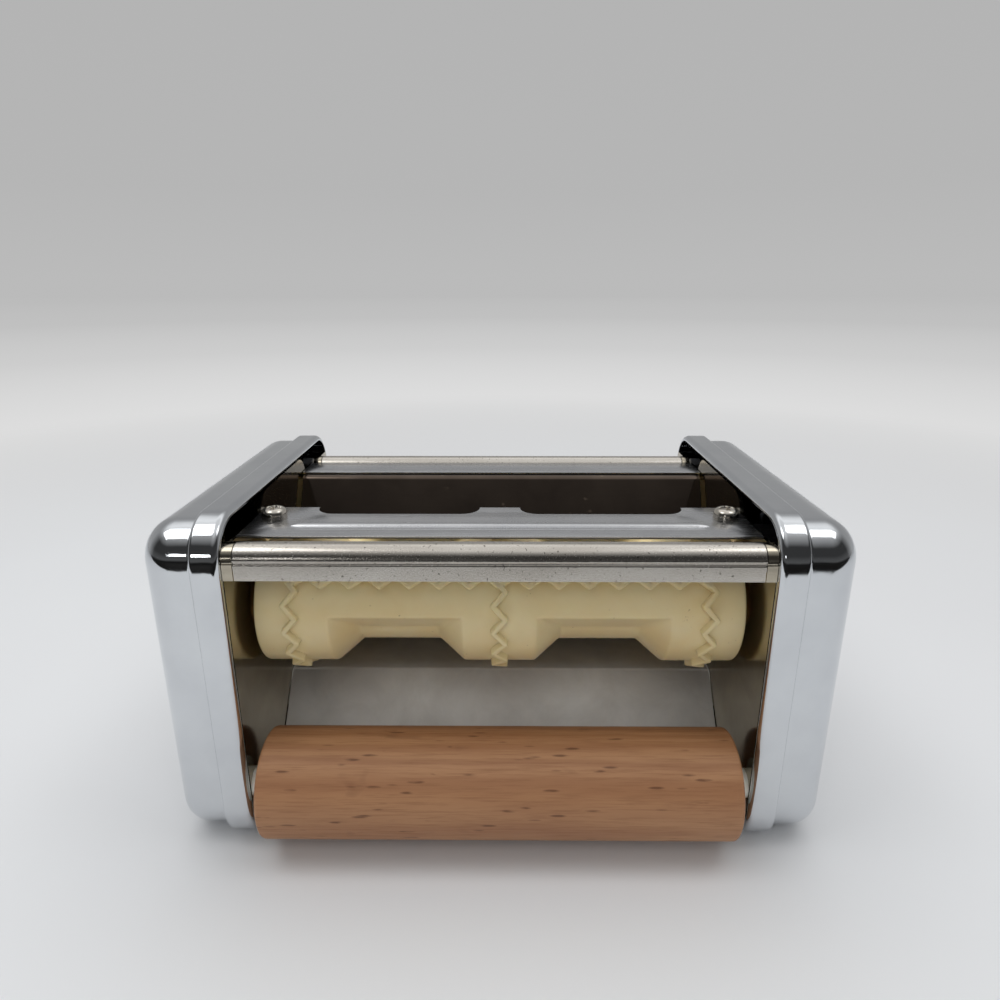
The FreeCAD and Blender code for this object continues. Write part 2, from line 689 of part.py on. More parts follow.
def involute_gear(tooth_shift):
    """Spur gear on the front shaft; tooth_shift turns it by that share of one tooth."""
    pitch_radius = gear_teeth * gear_module / 2
    base_radius = pitch_radius * math.cos(math.radians(gear_pressure_angle))
    tip_radius = pitch_radius + gear_module * gear_addendum
    root_radius = pitch_radius - gear_module * gear_dedendum
    half_tooth = (math.pi * gear_module / 2 - gear_backlash) / 2 / pitch_radius
    pressure = math.radians(gear_pressure_angle)
    base_offset = half_tooth + math.tan(pressure) - pressure

    def polar(radius, angle):
        return Vector(gear_start_x, front_roller_y + radius * math.cos(angle),
                      front_roller_z + radius * math.sin(angle))

    def flank_point(radius, side, centre):
        roll = math.acos(min(1.0, base_radius / radius))
        return polar(radius, centre + side * (base_offset - (math.tan(roll) - roll)))

    step = 2 * math.pi / gear_teeth
    start_radius = max(base_radius, root_radius)
    rise = (tip_radius - start_radius) / (gear_flank_points - 1)
    radii = [start_radius + rise * i for i in range(gear_flank_points)]
    edges = []
    for tooth in range(gear_teeth):
        centre = step * (tooth + tooth_shift)
        rising = [flank_point(r, -1, centre) for r in radii]
        falling = [flank_point(r, 1, centre) for r in reversed(radii)]
        root_start = polar(root_radius, centre - base_offset)
        root_end = polar(root_radius, centre + base_offset)
        edges.append(Part.makeLine(root_start, rising[0]))
        curve = Part.BSplineCurve()
        curve.interpolate(rising)
        edges.append(curve.toShape())
        edges.append(Part.Arc(rising[-1], polar(tip_radius, centre), falling[0]).toShape())
        curve = Part.BSplineCurve()
        curve.interpolate(falling)
        edges.append(curve.toShape())
        edges.append(Part.makeLine(falling[-1], root_end))
        next_start = polar(root_radius, centre + step - base_offset)
        edges.append(Part.Arc(root_end, polar(root_radius, centre + step / 2), next_start).toShape())
    face = Part.Face(Part.Wire(Part.__sortEdges__(edges)))
    gear = face.extrude(Vector(gear_width, 0, 0))
    hub = rod_x(front_roller_y, front_roller_z, gear_hub_radius, gear_start_x, hub_end_x)
    gear = fuse([gear, hub])
    bore = rod_x(front_roller_y, front_roller_z, journal_radius + fixed_clearance,
                 gear_start_x - beyond, hub_end_x + beyond)
    flat_y = front_roller_y + journal_radius - flat_depth + fixed_clearance
    bore = bore.cut(box(gear_start_x - beyond, hub_end_x + beyond, flat_y, flat_y + journal_radius,
                        front_roller_z - 2 * journal_radius, front_roller_z + 2 * journal_radius))
    recess_start = gear_end_x - gear_recess_depth
    recess = rod_x(front_roller_y, front_roller_z, root_radius - gear_rim, recess_start,
                   gear_end_x + beyond)
    recess = recess.cut(rod_x(front_roller_y, front_roller_z, gear_hub_radius + gear_hub_relief,
                              recess_start, gear_end_x + beyond))
    return gear.cut(bore).cut(recess)


def roller_bush():
    """Flanged bush in the right side plate at the front shaft."""
    sleeve = rod_x(front_roller_y, front_roller_z, bush_radius, plate_inner_x,
                   plate_inner_x + bush_length)
    flange_start = plate_inner_x - bush_flange_thickness
    flange = rod_x(front_roller_y, front_roller_z, bush_flange_radius, flange_start, plate_inner_x)
    hole = rod_x(front_roller_y, front_roller_z, journal_radius + running_clearance,
                 flange_start - beyond, plate_inner_x + bush_length + beyond)
    return fuse([sleeve, flange]).cut(hole)


def tie_rod(y, z):
    """Spacer rod between the side plates with a threaded end at each side."""
    spacer = rod_x(y, z, tie_rod_radius, -plate_inner_x, plate_inner_x)
    return fuse([spacer, rod_x(y, z, tie_rod_thread_radius, -rod_end_x, rod_end_x)])


def hex_nut(y, z, hole_radius):
    """Nut outside the right side plate, with flats to the front and back."""
    corner = nut_across_flats / 2 / math.cos(math.pi / 6)
    turns = [math.pi / 6 + math.pi / 3 * i for i in range(6)]
    points = [(y + corner * math.cos(turn), z + corner * math.sin(turn)) for turn in turns]
    nut = prism_x(points, plate_outer_x, plate_outer_x + nut_height)
    return nut.cut(rod_x(y, z, hole_radius + fixed_clearance, plate_outer_x - beyond,
                         plate_outer_x + nut_height + beyond))


def cover_screw(y, z):
    """Screw driven from inside the frame through the side plate into a cover boss."""
    crown_x = plate_inner_x - cover_screw_head_height
    head = rod_x(y, z, cover_screw_head_radius, crown_x, plate_inner_x)
    head = head.makeFillet(cover_screw_head_edge, edges_at_x(head, crown_x))
    shank = rod_x(y, z, boss_hole_radius - fixed_clearance, plate_inner_x,
                  plate_outer_x + boss_hole_depth - cover_screw_thread_gap)
    slot = box(crown_x - beyond, crown_x + cover_screw_slot_depth,
               y - cover_screw_slot_width / 2, y + cover_screw_slot_width / 2,
               z - cover_screw_slot_length / 2, z + cover_screw_slot_length / 2)
    return fuse([head, shank]).cut(slot)


def wood_roller():
    drum = rod_x(wood_roller_y, wood_roller_z, wood_roller_radius, -wood_roller_half_length,
                 wood_roller_half_length)
    rims = edges_at_x(drum, -wood_roller_half_length) + edges_at_x(drum, wood_roller_half_length)
    drum = drum.makeFillet(wood_roller_edge, rims)
    drum = drum.cut(rod_x(wood_roller_y, wood_roller_z, wood_bore_radius, -wood_roller_half_length,
                          wood_roller_half_length))
    bush_hole = rod_x(wood_roller_y, wood_roller_z, wood_bush_radius + fixed_clearance,
                      wood_roller_half_length - wood_bush_length, wood_roller_half_length + beyond)
    return drum.cut(bush_hole).cut(mirrored(bush_hole))


def wood_roller_bush():
    """Nylon bush pressed into the right end of the wooden roller."""
    sleeve = rod_x(wood_roller_y, wood_roller_z, wood_bush_radius,
                   wood_roller_half_length - wood_bush_length, wood_roller_half_length)
    flange = rod_x(wood_roller_y, wood_roller_z, wood_bush_flange_radius, wood_roller_half_length,
                   wood_roller_half_length + wood_bush_flange)
    hole = rod_x(wood_roller_y, wood_roller_z, wood_axle_radius + running_clearance,
                 wood_roller_half_length - wood_bush_length - beyond,
                 wood_roller_half_length + wood_bush_flange + beyond)
    return fuse([sleeve, flange]).cut(hole)


def wood_roller_axle():
    axle = rod_x(wood_roller_y, wood_roller_z, wood_axle_radius, -plate_inner_x, plate_inner_x)
    thread = rod_x(wood_roller_y, wood_roller_z, wood_axle_thread_radius, -rod_end_x, rod_end_x)
    return fuse([axle, thread])


def axle_spacer():
    """Sleeve that keeps the wooden roller off the side plate."""
    start = wood_roller_half_length + wood_bush_flange + face_clearance
    sleeve = rod_x(wood_roller_y, wood_roller_z, wood_axle_radius + axle_spacer_wall, start,
                   plate_inner_x)
    return sleeve.cut(rod_x(wood_roller_y, wood_roller_z, wood_axle_radius + fixed_clearance,
                            start - beyond, plate_inner_x + beyond))


def with_mirror(shapes):
    return shapes + [mirrored(s) for s in shapes]


def save(name, shapes):
    """Writes one node as a STEP file, moved to the machine's own origin."""
    solids = []
    for shape in shapes if isinstance(shapes, list) else [shapes]:
        solids.extend(shape.Solids)
    compound = Part.makeCompound(solids) if len(solids) > 1 else solids[0]
    compound.translate(Vector(0, -origin_y, 0))
    compound.exportStep(os.path.join("parts", name + ".step"))
    box_ = compound.BoundBox
    print("%-20s solids %2d valid %s volume %9.1f  x %7.1f %7.1f  y %7.1f %7.1f  z %6.1f %6.1f"
          % (name, len(solids), all(s.isValid() for s in solids), compound.Volume,
             box_.XMin, box_.XMax, box_.YMin, box_.YMax, box_.ZMin, box_.ZMax))


def main():
    os.makedirs("parts", exist_ok=True)
    plate = side_plate()
    save("left_cover", mirrored(cover()))
    save("right_cover", crank_cover())
    save("left_side_plate", mirrored(plate))
    save("right_side_plate", plate)
    save("front_rail", rail())
    save("rear_rail", at_back(rail()))
    save("front_table", front_table())
    save("rear_table", rear_table())
    save("table_screws", with_mirror([table_screw()]))
    save("guide_plate", guide_plate())
    save("discharge_chute", discharge_chute())
    roller = ravioli_roller()
    save("front_roller", roller)
    save("rear_roller", at_rear_roller(roller))
    save("front_roller_shaft", shaft(True))
    save("rear_roller_shaft", at_rear_roller(shaft(False)))
    save("front_drive_pins", drive_pins())
    save("rear_drive_pins", [at_rear_roller(pin) for pin in drive_pins()])
    save("front_gear", involute_gear(0.0))
    save("rear_gear", at_rear_roller(involute_gear(0.5)))
    save("front_shaft_clips", retaining_clips())
    save("rear_shaft_clips", [at_rear_roller(clip) for clip in retaining_clips()])
    save("front_shaft_bushes", with_mirror([roller_bush()]))
    save("rear_shaft_bushes", with_mirror([at_rear_roller(roller_bush())]))
    save("tie_rods", [tie_rod(y, z) for y, z in tie_rods])
    save("tie_rod_nuts", with_mirror([hex_nut(y, z, tie_rod_thread_radius) for y, z in tie_rods]))
    save("cover_screws", with_mirror([cover_screw(y, z) for y, z in cover_fixings]))
    save("wood_roller", wood_roller())
    save("wood_roller_bushes", with_mirror([wood_roller_bush()]))
    save("wood_roller_axle", wood_roller_axle())
    save("axle_spacers", with_mirror([axle_spacer()]))
    save("axle_nuts", with_mirror([hex_nut(wood_roller_y, wood_roller_z, wood_axle_thread_radius)]))


main()
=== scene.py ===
import json
import math

import bpy
import numpy as np
from mathutils import Matrix, Vector


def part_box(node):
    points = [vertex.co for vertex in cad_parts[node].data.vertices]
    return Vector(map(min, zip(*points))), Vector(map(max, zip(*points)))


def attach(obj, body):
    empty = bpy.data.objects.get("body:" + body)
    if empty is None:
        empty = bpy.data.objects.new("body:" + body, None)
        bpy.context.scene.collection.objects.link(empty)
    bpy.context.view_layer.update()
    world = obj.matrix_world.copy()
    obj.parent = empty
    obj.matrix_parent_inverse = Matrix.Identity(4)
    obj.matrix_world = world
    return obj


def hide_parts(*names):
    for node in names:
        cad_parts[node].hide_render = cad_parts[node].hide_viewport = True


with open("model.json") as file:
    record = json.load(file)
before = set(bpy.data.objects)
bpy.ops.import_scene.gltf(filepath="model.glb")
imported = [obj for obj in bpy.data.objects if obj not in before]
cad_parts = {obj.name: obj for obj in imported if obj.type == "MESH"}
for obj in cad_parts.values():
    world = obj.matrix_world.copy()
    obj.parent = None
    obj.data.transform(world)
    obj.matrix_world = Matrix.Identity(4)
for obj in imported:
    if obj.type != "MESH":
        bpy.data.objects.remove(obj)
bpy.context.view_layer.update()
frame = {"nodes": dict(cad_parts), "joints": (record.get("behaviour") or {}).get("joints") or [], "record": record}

# Shapes are worked out in millimetres, with y = 0 at the front plane of the covers and z = 0 on the
# table, and put() turns them into metres in the frame's own place.
MM = 0.001
FRONT_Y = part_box("left_cover")[0].y
BASE_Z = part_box("left_cover")[0].z


def put(x, y, z):
    """A point in metres, in the frame's own place."""
    return (x * MM, FRONT_Y + y * MM, BASE_Z + z * MM)


def node_box(name):
    """Lowest and highest corner of a node in millimetres, in the covers' own place."""
    low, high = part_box(name)
    return [(p.x / MM, (p.y - FRONT_Y) / MM, (p.z - BASE_Z) / MM) for p in (low, high)]


def joint_centre(name):
    """The (y, z) place of a joint that turns about X."""
    joint = [j for j in frame["joints"] if j["name"] == name][0]
    _, y, z = joint["pos_m"]
    return (y - FRONT_Y) / MM, (z - BASE_Z) / MM


# Covers
COVER_LOW, COVER_HIGH = node_box("left_cover")
COVER_DEPTH = COVER_HIGH[1]
COVER_HEIGHT = COVER_HIGH[2]
COVER_INNER = -COVER_HIGH[0]
COVER_OUTER = -COVER_LOW[0]
COVER_CORNER = 14.0
BAND_WIDTH = 8.75
BAND_STEP = 2.2
COVER_WALL = 2.1
LIP_RADIUS = 2.0
BAND_EDGE = 1.1
STEP_FILLET = 0.95
BODY_EDGE = 9.5
COLLAR_HEIGHT = node_box("right_cover")[1][0] - COVER_OUTER
CRANK_HOLE = 7.5
COLLAR_WALL = 1.8

# Sheet metal
SHEET = 0.8
RAIL_LOW, RAIL_HIGH = node_box("front_rail")
RAIL_HALF = RAIL_HIGH[0]
RAIL_RADIUS = 4.8
RAIL_CENTRE_Y = RAIL_HIGH[1] - RAIL_RADIUS
RAIL_CENTRE_Z = RAIL_HIGH[2] - RAIL_RADIUS
RAIL_SETBACK = 0.15
GROOVE_DEPTH = 0.55
GROOVE_HALF = 0.45
RAIL_BACK_BOTTOM = 94.2
TABLE_LOW, TABLE_HIGH = node_box("front_table")
REAR_TABLE_LOW, REAR_TABLE_HIGH = node_box("rear_table")
TABLE_HALF = TABLE_HIGH[0]
TABLE_TOP = REAR_TABLE_HIGH[2]
NOTCH_DEPTH = 6.7
NOTCH_INNER = 6.7
NOTCH_OUTER = 60.0
NOTCH_CORNER = 6.0
RIB_HALF_LENGTH = 65.0
RIB_TAPER = 4.0
RIB_PROFILE = ((27.2, -0.1), (26.9, 0.0), (26.3, 0.1), (25.6, 0.4), (25.0, 0.62), (24.3, 0.72),
               (23.6, 0.66), (23.1, 0.54), (22.78, 0.4), (22.6, 0.18), (22.45, 0.02), (22.2, 0.0),
               (21.6, 0.01), (21.1, 0.07), (20.7, 0.07), (20.2, 0.0), (20.0, -0.1))
SCREW_X = 72.0
SCREW_Y = 31.5
SCREW_RADIUS = 4.0
SCREW_HEIGHT = 3.4
RECESS_HALF_WIDTH = 0.42
RECESS_HALF_LENGTH = 2.3
RECESS_DEPTH = 1.25
THREAD_RADIUS = 1.82
THREAD_HEIGHT = 0.18
THREAD_PITCH = 0.8

# Rollers
FRONT_AXIS = joint_centre("front_roller_spin")
REAR_AXIS = joint_centre("rear_roller_spin")
ROLLER_HALF = node_box("front_roller")[1][0]
ROLLER_RADIUS = 20.5
RIDGE_HEIGHT = 2.2
RIDGE_TIP = ROLLER_RADIUS + RIDGE_HEIGHT
RIDGE_WIDTH = 1.5
RIDGE_FOOT_WIDTH = 2.0
RIDGE_ROUND = 0.35
RAVIOLI_WIDTH = 64.4
TEETH_ACROSS = 7
TEETH_AROUND = 16
ZIGZAG = 1.9
ZIGZAG_PHASE = 29.4
ROW_ANGLE = 38.7
POCKET_FLOOR = 13.4
POCKET_HALF = 20.8
POCKET_FLOOR_HALF = 12.75
POCKET_EDGE_ANGLE = 58.5
POCKET_FOOT_ANGLE = 33.3
SHAFT_HOLE = 6.05
ROLLER_RIM = 0.8
SHOWN_BORE = 6.0

# Wooden roller
WOOD_AXIS = joint_centre("wood_roller_spin")
WOOD_HALF = node_box("wood_roller")[1][0]
WOOD_RADIUS = WOOD_AXIS[1] - node_box("wood_roller")[0][2]
WOOD_EDGE = 1.2
WOOD_BUSH_HOLE = 5.05
WOOD_BUSH_DEPTH = 12.0

# Guide and chute
GUIDE_BEND_Y = 84.5
GUIDE_BEND = 2.6
GUIDE_SLOPE = 60.0
CHUTE_HIGH = node_box("discharge_chute")[1]
CHUTE_BACK_Y = CHUTE_HIGH[1] - SHEET
CHUTE_BACK_Z = 36.0
CHUTE_FOOT = 8.0
CHUTE_EDGE = (52.0, 34.5)
CHUTE_LIP = (27.0, 9.0)
BEND_RADIUS = 1.2


# Node materials

def new_material(name):
    """An empty node material with one Principled shader."""
    material = bpy.data.materials.new(name)
    material.use_nodes = True
    tree = material.node_tree
    tree.nodes.clear()
    output = tree.nodes.new("ShaderNodeOutputMaterial")
    shader = tree.nodes.new("ShaderNodeBsdfPrincipled")
    tree.links.new(shader.outputs[0], output.inputs[0])
    return material, tree, shader


def node(tree, kind, inputs=None, **props):
    """Adds a node; an input that is a socket is linked, any other value is set."""
    made = tree.nodes.new(kind)
    for key, value in props.items():
        setattr(made, key, value)
    for key, value in (inputs or {}).items():
        if isinstance(value, bpy.types.NodeSocket):
            tree.links.new(value, made.inputs[key])
        else:
            made.inputs[key].default_value = value
    return made


def coords(tree, scale=(1, 1, 1), location=(0, 0, 0), rotation=(0, 0, 0)):
    """Object coordinates, stretched and turned."""
    source = node(tree, "ShaderNodeTexCoord")
    mapping = node(tree, "ShaderNodeMapping", {"Vector": source.outputs["Object"], "Scale": scale,
                                               "Location": location, "Rotation": rotation})
    return mapping.outputs[0]


def noise(tree, vector, scale, detail=4.0, roughness=0.55, distortion=0.0):
    """Grey noise of 0 to 1."""
    made = node(tree, "ShaderNodeTexNoise", {"Vector": vector, "Scale": scale, "Detail": detail,
                                             "Roughness": roughness, "Distortion": distortion})
    return made.outputs["Fac"]


def ramp(tree, value, low, high, start=0.0, end=1.0):
    """Maps value from low..high to start..end, clamped."""
    made = node(tree, "ShaderNodeMapRange", {"Value": value, "From Min": low, "From Max": high,
                                             "To Min": start, "To Max": end}, clamp=True)
    return made.outputs[0]


def mix(tree, factor, a, b):
    """Colour mix."""
    made = node(tree, "ShaderNodeMix", {}, data_type="RGBA")
    for key, value in ((0, factor), (6, a), (7, b)):
        if isinstance(value, bpy.types.NodeSocket):
            tree.links.new(value, made.inputs[key])
        else:
            made.inputs[key].default_value = value
    return made.outputs[2]


def maths(tree, operation, a, b=0.0):
    """One sum on two values or sockets."""
    made = node(tree, "ShaderNodeMath", {}, operation=operation)
    for index, value in enumerate((a, b)):
        if isinstance(value, bpy.types.NodeSocket):
            tree.links.new(value, made.inputs[index])
        else:
            made.inputs[index].default_value = value
    return made.outputs[0]


def bump(tree, shader, height, strength, distance):
    """Gives the shader a fine relief."""
    made = node(tree, "ShaderNodeBump", {"Height": height, "Strength": strength, "Distance": distance})
    tree.links.new(made.outputs[0], shader.inputs["Normal"])
    return made


def link(tree, socket, shader, name):
    """Joins a socket to one of the shader's inputs."""
    tree.links.new(socket, shader.inputs[name])


def rgb(red, green, blue):
    """A linear colour from sRGB values of 0 to 255."""
    linear = []
    for value in (red, green, blue):
        c = value / 255
        linear.append(c / 12.92 if c <= 0.04045 else ((c + 0.055) / 1.055) ** 2.4)
    return (*linear, 1.0)


def chrome_shell():
    """Chromed plastic: a mirror with a faint orange-peel wave and hazy patches."""
    material, tree, shader = new_material("chrome_shell")
    shader.inputs["Metallic"].default_value = 1.0
    place = coords(tree)
    haze = noise(tree, place, 38.0, 5.0, 0.6)
    tint = mix(tree, ramp(tree, haze, 0.35, 0.7), rgb(213, 216, 219), rgb(203, 206, 210))
    link(tree, tint, shader, "Base Color")
    fine = noise(tree, place, 420.0, 3.0, 0.6)
    grain = maths(tree, "ADD", ramp(tree, haze, 0.4, 0.75, 0.055, 0.13),
                  ramp(tree, fine, 0.55, 0.8, 0.0, 0.05))
    link(tree, grain, shader, "Roughness")
    wave = noise(tree, place, 62.0, 2.5, 0.45)
    bump(tree, shader, wave, 0.34, 0.0006)
    return material


def rail_nickel():
    """Satin nickel on pressed sheet, with a fine sandy grain and small dark pits."""
    material, tree, shader = new_material("rail_nickel")
    shader.inputs["Metallic"].default_value = 1.0
    place = coords(tree, scale=(0.6, 1, 1))
    sand = noise(tree, place, 2600.0, 2.0, 0.7)
    cloud = noise(tree, coords(tree, scale=(0.35, 1, 1)), 90.0, 4.0, 0.6)
    base = mix(tree, ramp(tree, cloud, 0.35, 0.7), rgb(207, 202, 194), rgb(193, 187, 178))
    pits = ramp(tree, noise(tree, coords(tree), 1100.0, 2.0, 0.5), 0.66, 0.72)
    base = mix(tree, maths(tree, "MULTIPLY", pits, 0.75), base, rgb(66, 56, 48))
    link(tree, base, shader, "Base Color")
    link(tree, ramp(tree, sand, 0.3, 0.75, 0.15, 0.3), shader, "Roughness")
    bump(tree, shader, sand, 0.16, 0.00008)
    return material


def brushed_sheet(name, light, dark, rough_low, rough_high, grain_scale, tiny_marks=0.0, metal=1.0):
    """Rolled bright sheet: long faint grain along X, soft stains and, if asked, small pale marks."""
    material, tree, shader = new_material(name)
    shader.inputs["Metallic"].default_value = metal
    grain = noise(tree, coords(tree, scale=grain_scale), 900.0, 3.0, 0.6)
    stain = noise(tree, coords(tree), 46.0, 5.0, 0.62, 0.4)
    base = mix(tree, ramp(tree, stain, 0.35, 0.72), light, dark)
    if tiny_marks:
        spots = ramp(tree, noise(tree, coords(tree, location=(0.3, 0.1, 0.7)), 240.0, 2.0, 0.5), 0.70, 0.76)
        base = mix(tree, maths(tree, "MULTIPLY", spots, tiny_marks), base, rgb(168, 150, 132))
    link(tree, base, shader, "Base Color")
    rough = maths(tree, "ADD", ramp(tree, grain, 0.3, 0.75, rough_low, rough_high),
                  ramp(tree, stain, 0.55, 0.8, 0.0, 0.08))
    link(tree, rough, shader, "Roughness")
    bump(tree, shader, grain, 0.06, 0.00006)
    return material


def ivory_plastic():
    """Moulded ivory plastic, slightly translucent, with faint flow marks and dusty patches."""
    material, tree, shader = new_material("ivory_plastic")
    place = coords(tree)
    cloud = noise(tree, place, 34.0, 5.0, 0.6, 0.5)
    flow = noise(tree, coords(tree, scale=(0.25, 1, 1)), 160.0, 4.0, 0.6)
    base = mix(tree, ramp(tree, cloud, 0.35, 0.7), rgb(244, 226, 178), rgb(237, 213, 158))
    base = mix(tree, ramp(tree, flow, 0.5, 0.8, 0.0, 0.35), base, rgb(242, 224, 184))
    specks = ramp(tree, noise(tree, place, 620.0, 2.0, 0.5), 0.73, 0.77)
    base = mix(tree, maths(tree, "MULTIPLY", specks, 0.5), base, rgb(150, 118, 70))
    link(tree, base, shader, "Base Color")
    link(tree, ramp(tree, flow, 0.3, 0.75, 0.34, 0.48), shader, "Roughness")
    shader.inputs["Subsurface Weight"].default_value = 0.22
    shader.inputs["Subsurface Radius"].default_value = (0.004, 0.0028, 0.0014)
    shader.inputs["Subsurface Scale"].default_value = 0.6
    shader.inputs["IOR"].default_value = 1.5
    bump(tree, shader, noise(tree, place, 900.0, 3.0, 0.6), 0.06, 0.0001)
    return material


def beech():
    """Sanded beech: pink-tan wood with growth bands, fine pores and short dark ray flecks."""
    material, tree, shader = new_material("beech")
    bands = node(tree, "ShaderNodeTexWave",
                 {"Vector": coords(tree, scale=(0.10, 1, 1), rotation=(0.5, 0.05, 0.02),
                                   location=(0, 0.013, -0.03)),
                  "Scale": 62.0, "Distortion": 5.5, "Detail": 3.0, "Detail Scale": 1.6,
                  "Detail Roughness": 0.55}, wave_type="RINGS", rings_direction="X")
    base = mix(tree, ramp(tree, bands.outputs["Fac"], 0.2, 0.9), rgb(180, 133, 94), rgb(167, 119, 82))
    cloud = noise(tree, coords(tree, scale=(0.22, 1, 1)), 70.0, 4.0, 0.6, 0.6)
    base = mix(tree, ramp(tree, cloud, 0.38, 0.68, 0.0, 0.6), base, rgb(157, 108, 74))
    fibre = noise(tree, coords(tree, scale=(0.045, 1, 1)), 1500.0, 4.0, 0.65)
    base = mix(tree, ramp(tree, fibre, 0.48, 0.74, 0.0, 0.5), base, rgb(128, 82, 53))
    flecks = node(tree, "ShaderNodeTexVoronoi",
                  {"Vector": coords(tree, scale=(0.16, 1, 1), rotation=(0, 0, 0.012)),
                   "Scale": 560.0, "Randomness": 1.0}, feature="F1")
    keep = ramp(tree, noise(tree, coords(tree, scale=(0.3, 1, 1), location=(0.2, 0, 0)), 240.0, 2.0),
                0.5, 0.58)
    fleck = maths(tree, "MULTIPLY", ramp(tree, flecks.outputs["Distance"], 0.16, 0.28, 1.0, 0.0), keep)
    base = mix(tree, maths(tree, "MULTIPLY", fleck, 0.72), base, rgb(94, 54, 33))
    knots = noise(tree, coords(tree, scale=(0.55, 1, 1), location=(0.05, 0.02, 0.4)), 105.0, 2.0, 0.5, 0.3)
    base = mix(tree, ramp(tree, knots, 0.66, 0.76, 0.0, 0.45), base, rgb(112, 70, 46))
    link(tree, base, shader, "Base Color")
    link(tree, ramp(tree, fibre, 0.3, 0.8, 0.46, 0.62), shader, "Roughness")
    pores = maths(tree, "SUBTRACT", maths(tree, "MULTIPLY", fibre, 0.6), fleck)
    bump(tree, shader, pores, 0.25, 0.00012)
    return material


def turned_metal(name, light, dark, rough):
    """Turned or sintered metal with rings of tool marks and a mottled tone."""
    material, tree, shader = new_material(name)
    shader.inputs["Metallic"].default_value = 1.0
    marks = noise(tree, coords(tree, scale=(6, 1, 1)), 500.0, 3.0, 0.6)
    mottle = noise(tree, coords(tree), 180.0, 4.0, 0.6)
    link(tree, mix(tree, ramp(tree, mottle, 0.35, 0.7), light, dark), shader, "Base Color")
    link(tree, ramp(tree, marks, 0.3, 0.75, rough, rough + 0.16), shader, "Roughness")
    bump(tree, shader, marks, 0.1, 0.00008)
    return material


def nylon():
    """Natural nylon, matt and slightly translucent."""
    material, tree, shader = new_material("nylon")
    cloud = noise(tree, coords(tree), 120.0, 4.0, 0.6)
    link(tree, mix(tree, ramp(tree, cloud, 0.35, 0.7), rgb(236, 234, 226), rgb(220, 216, 204)), shader,
         "Base Color")
    link(tree, ramp(tree, cloud, 0.3, 0.8, 0.42, 0.55), shader, "Roughness")
    shader.inputs["Subsurface Weight"].default_value = 0.1
    shader.inputs["Subsurface Scale"].default_value = 0.002
    bump(tree, shader, cloud, 0.05, 0.0001)
    return material


MATERIALS = {
    "chrome_shell": chrome_shell(),
    "plate_steel": brushed_sheet("plate_steel", rgb(186, 178, 162), rgb(158, 150, 134), 0.10, 0.18,
                                 (0.05, 1, 1)),
    "rail_nickel": rail_nickel(),
    "table_steel": brushed_sheet("table_steel", rgb(206, 207, 209), rgb(192, 193, 196), 0.2, 0.3,
                                 (0.04, 1, 1)),
    # guide_steel: a dark brown sheet whose base is also darkened further as painted shade, standing in for the
    # dark room in front that it mirrors
    "guide_steel": brushed_sheet("guide_steel", rgb(98, 87, 78), rgb(82, 72, 65), 0.06, 0.12,
                                 (0.05, 1, 1), 0.5),
    "chute_steel": brushed_sheet("chute_steel", rgb(228, 227, 224), rgb(206, 204, 200), 0.34, 0.46,
                                 (1, 0.06, 0.06), metal=0.5),
    "screw_steel": turned_metal("screw_steel", rgb(214, 208, 198), rgb(188, 182, 172), 0.1),
    "ivory_plastic": ivory_plastic(),
    "shaft_steel": turned_metal("shaft_steel", rgb(176, 176, 178), rgb(150, 150, 152), 0.22),
    "gear_steel": turned_metal("gear_steel", rgb(126, 126, 130), rgb(98, 98, 102), 0.34),
    "bush_bronze": turned_metal("bush_bronze", rgb(196, 158, 104), rgb(168, 128, 78), 0.3),
    "zinc_fixings": turned_metal("zinc_fixings", rgb(190, 192, 196), rgb(168, 168, 170), 0.26),
    "beech": beech(),
    "nylon": nylon(),
}
NODE_SLOT = {part["node"]: part["material_slot"] for part in frame["record"]["subparts"]}
NODE_BODY = {name: body for body, names in frame["record"]["behaviour"]["bodies"].items() for name in names}


# Mesh helpers

def make_piece(name, parts, replaced, sharp=32.0, bevel=0.0):
    """Joins (points, faces) parts into one object that stands for a CAD node and takes its material."""
    points = []
    faces = []
    for part_points, part_faces in parts:
        start = len(points)
        points.extend(part_points)
        faces.extend([[index + start for index in face] for face in part_faces])
    mesh = bpy.data.meshes.new(name)
    mesh.from_pydata([put(*point) for point in points], [], faces)
    mesh.validate()
    piece = bpy.data.objects.new(name, mesh)
    bpy.context.scene.collection.objects.link(piece)
    if bevel:
        modifier = piece.modifiers.new("edge", "BEVEL")
        modifier.width = bevel * MM
        modifier.segments = 2
        modifier.limit_method = "ANGLE"
        modifier.angle_limit = math.radians(40)
        bpy.context.view_layer.update()
        evaluated = piece.evaluated_get(bpy.context.evaluated_depsgraph_get())
        bevelled = bpy.data.meshes.new_from_object(evaluated)
        piece.modifiers.clear()
        piece.data = bevelled
        mesh = bevelled
    mesh.polygons.foreach_set("use_smooth", [True] * len(mesh.polygons))
    mesh.set_sharp_from_angle(angle=math.radians(sharp))
    mesh.materials.clear()
    mesh.materials.append(MATERIALS[NODE_SLOT[replaced]])
    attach(piece, NODE_BODY[replaced])
    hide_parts(replaced)
    return piece


def arc(centre, radius, start, end, steps):
    """Points on a circle in the plane of two numbers, angles in degrees."""
    angles = [math.radians(start + (end - start) * i / steps) for i in range(steps + 1)]
    return [(centre[0] + radius * math.cos(a), centre[1] + radius * math.sin(a)) for a in angles]


def hold_edges(path, gap=0.2, shortest=1.2):
    """Adds a point near each end of every long straight run, so that shading stays flat there."""
    held = [path[0]]
    for a, b in zip(path, path[1:]):
        length = math.dist(a, b)
        if length > shortest:
            share = gap / length
            held.append(tuple(p + (q - p) * share for p, q in zip(a, b)))
            held.append(tuple(p + (q - p) * (1 - share) for p, q in zip(a, b)))
        held.append(b)
    return held


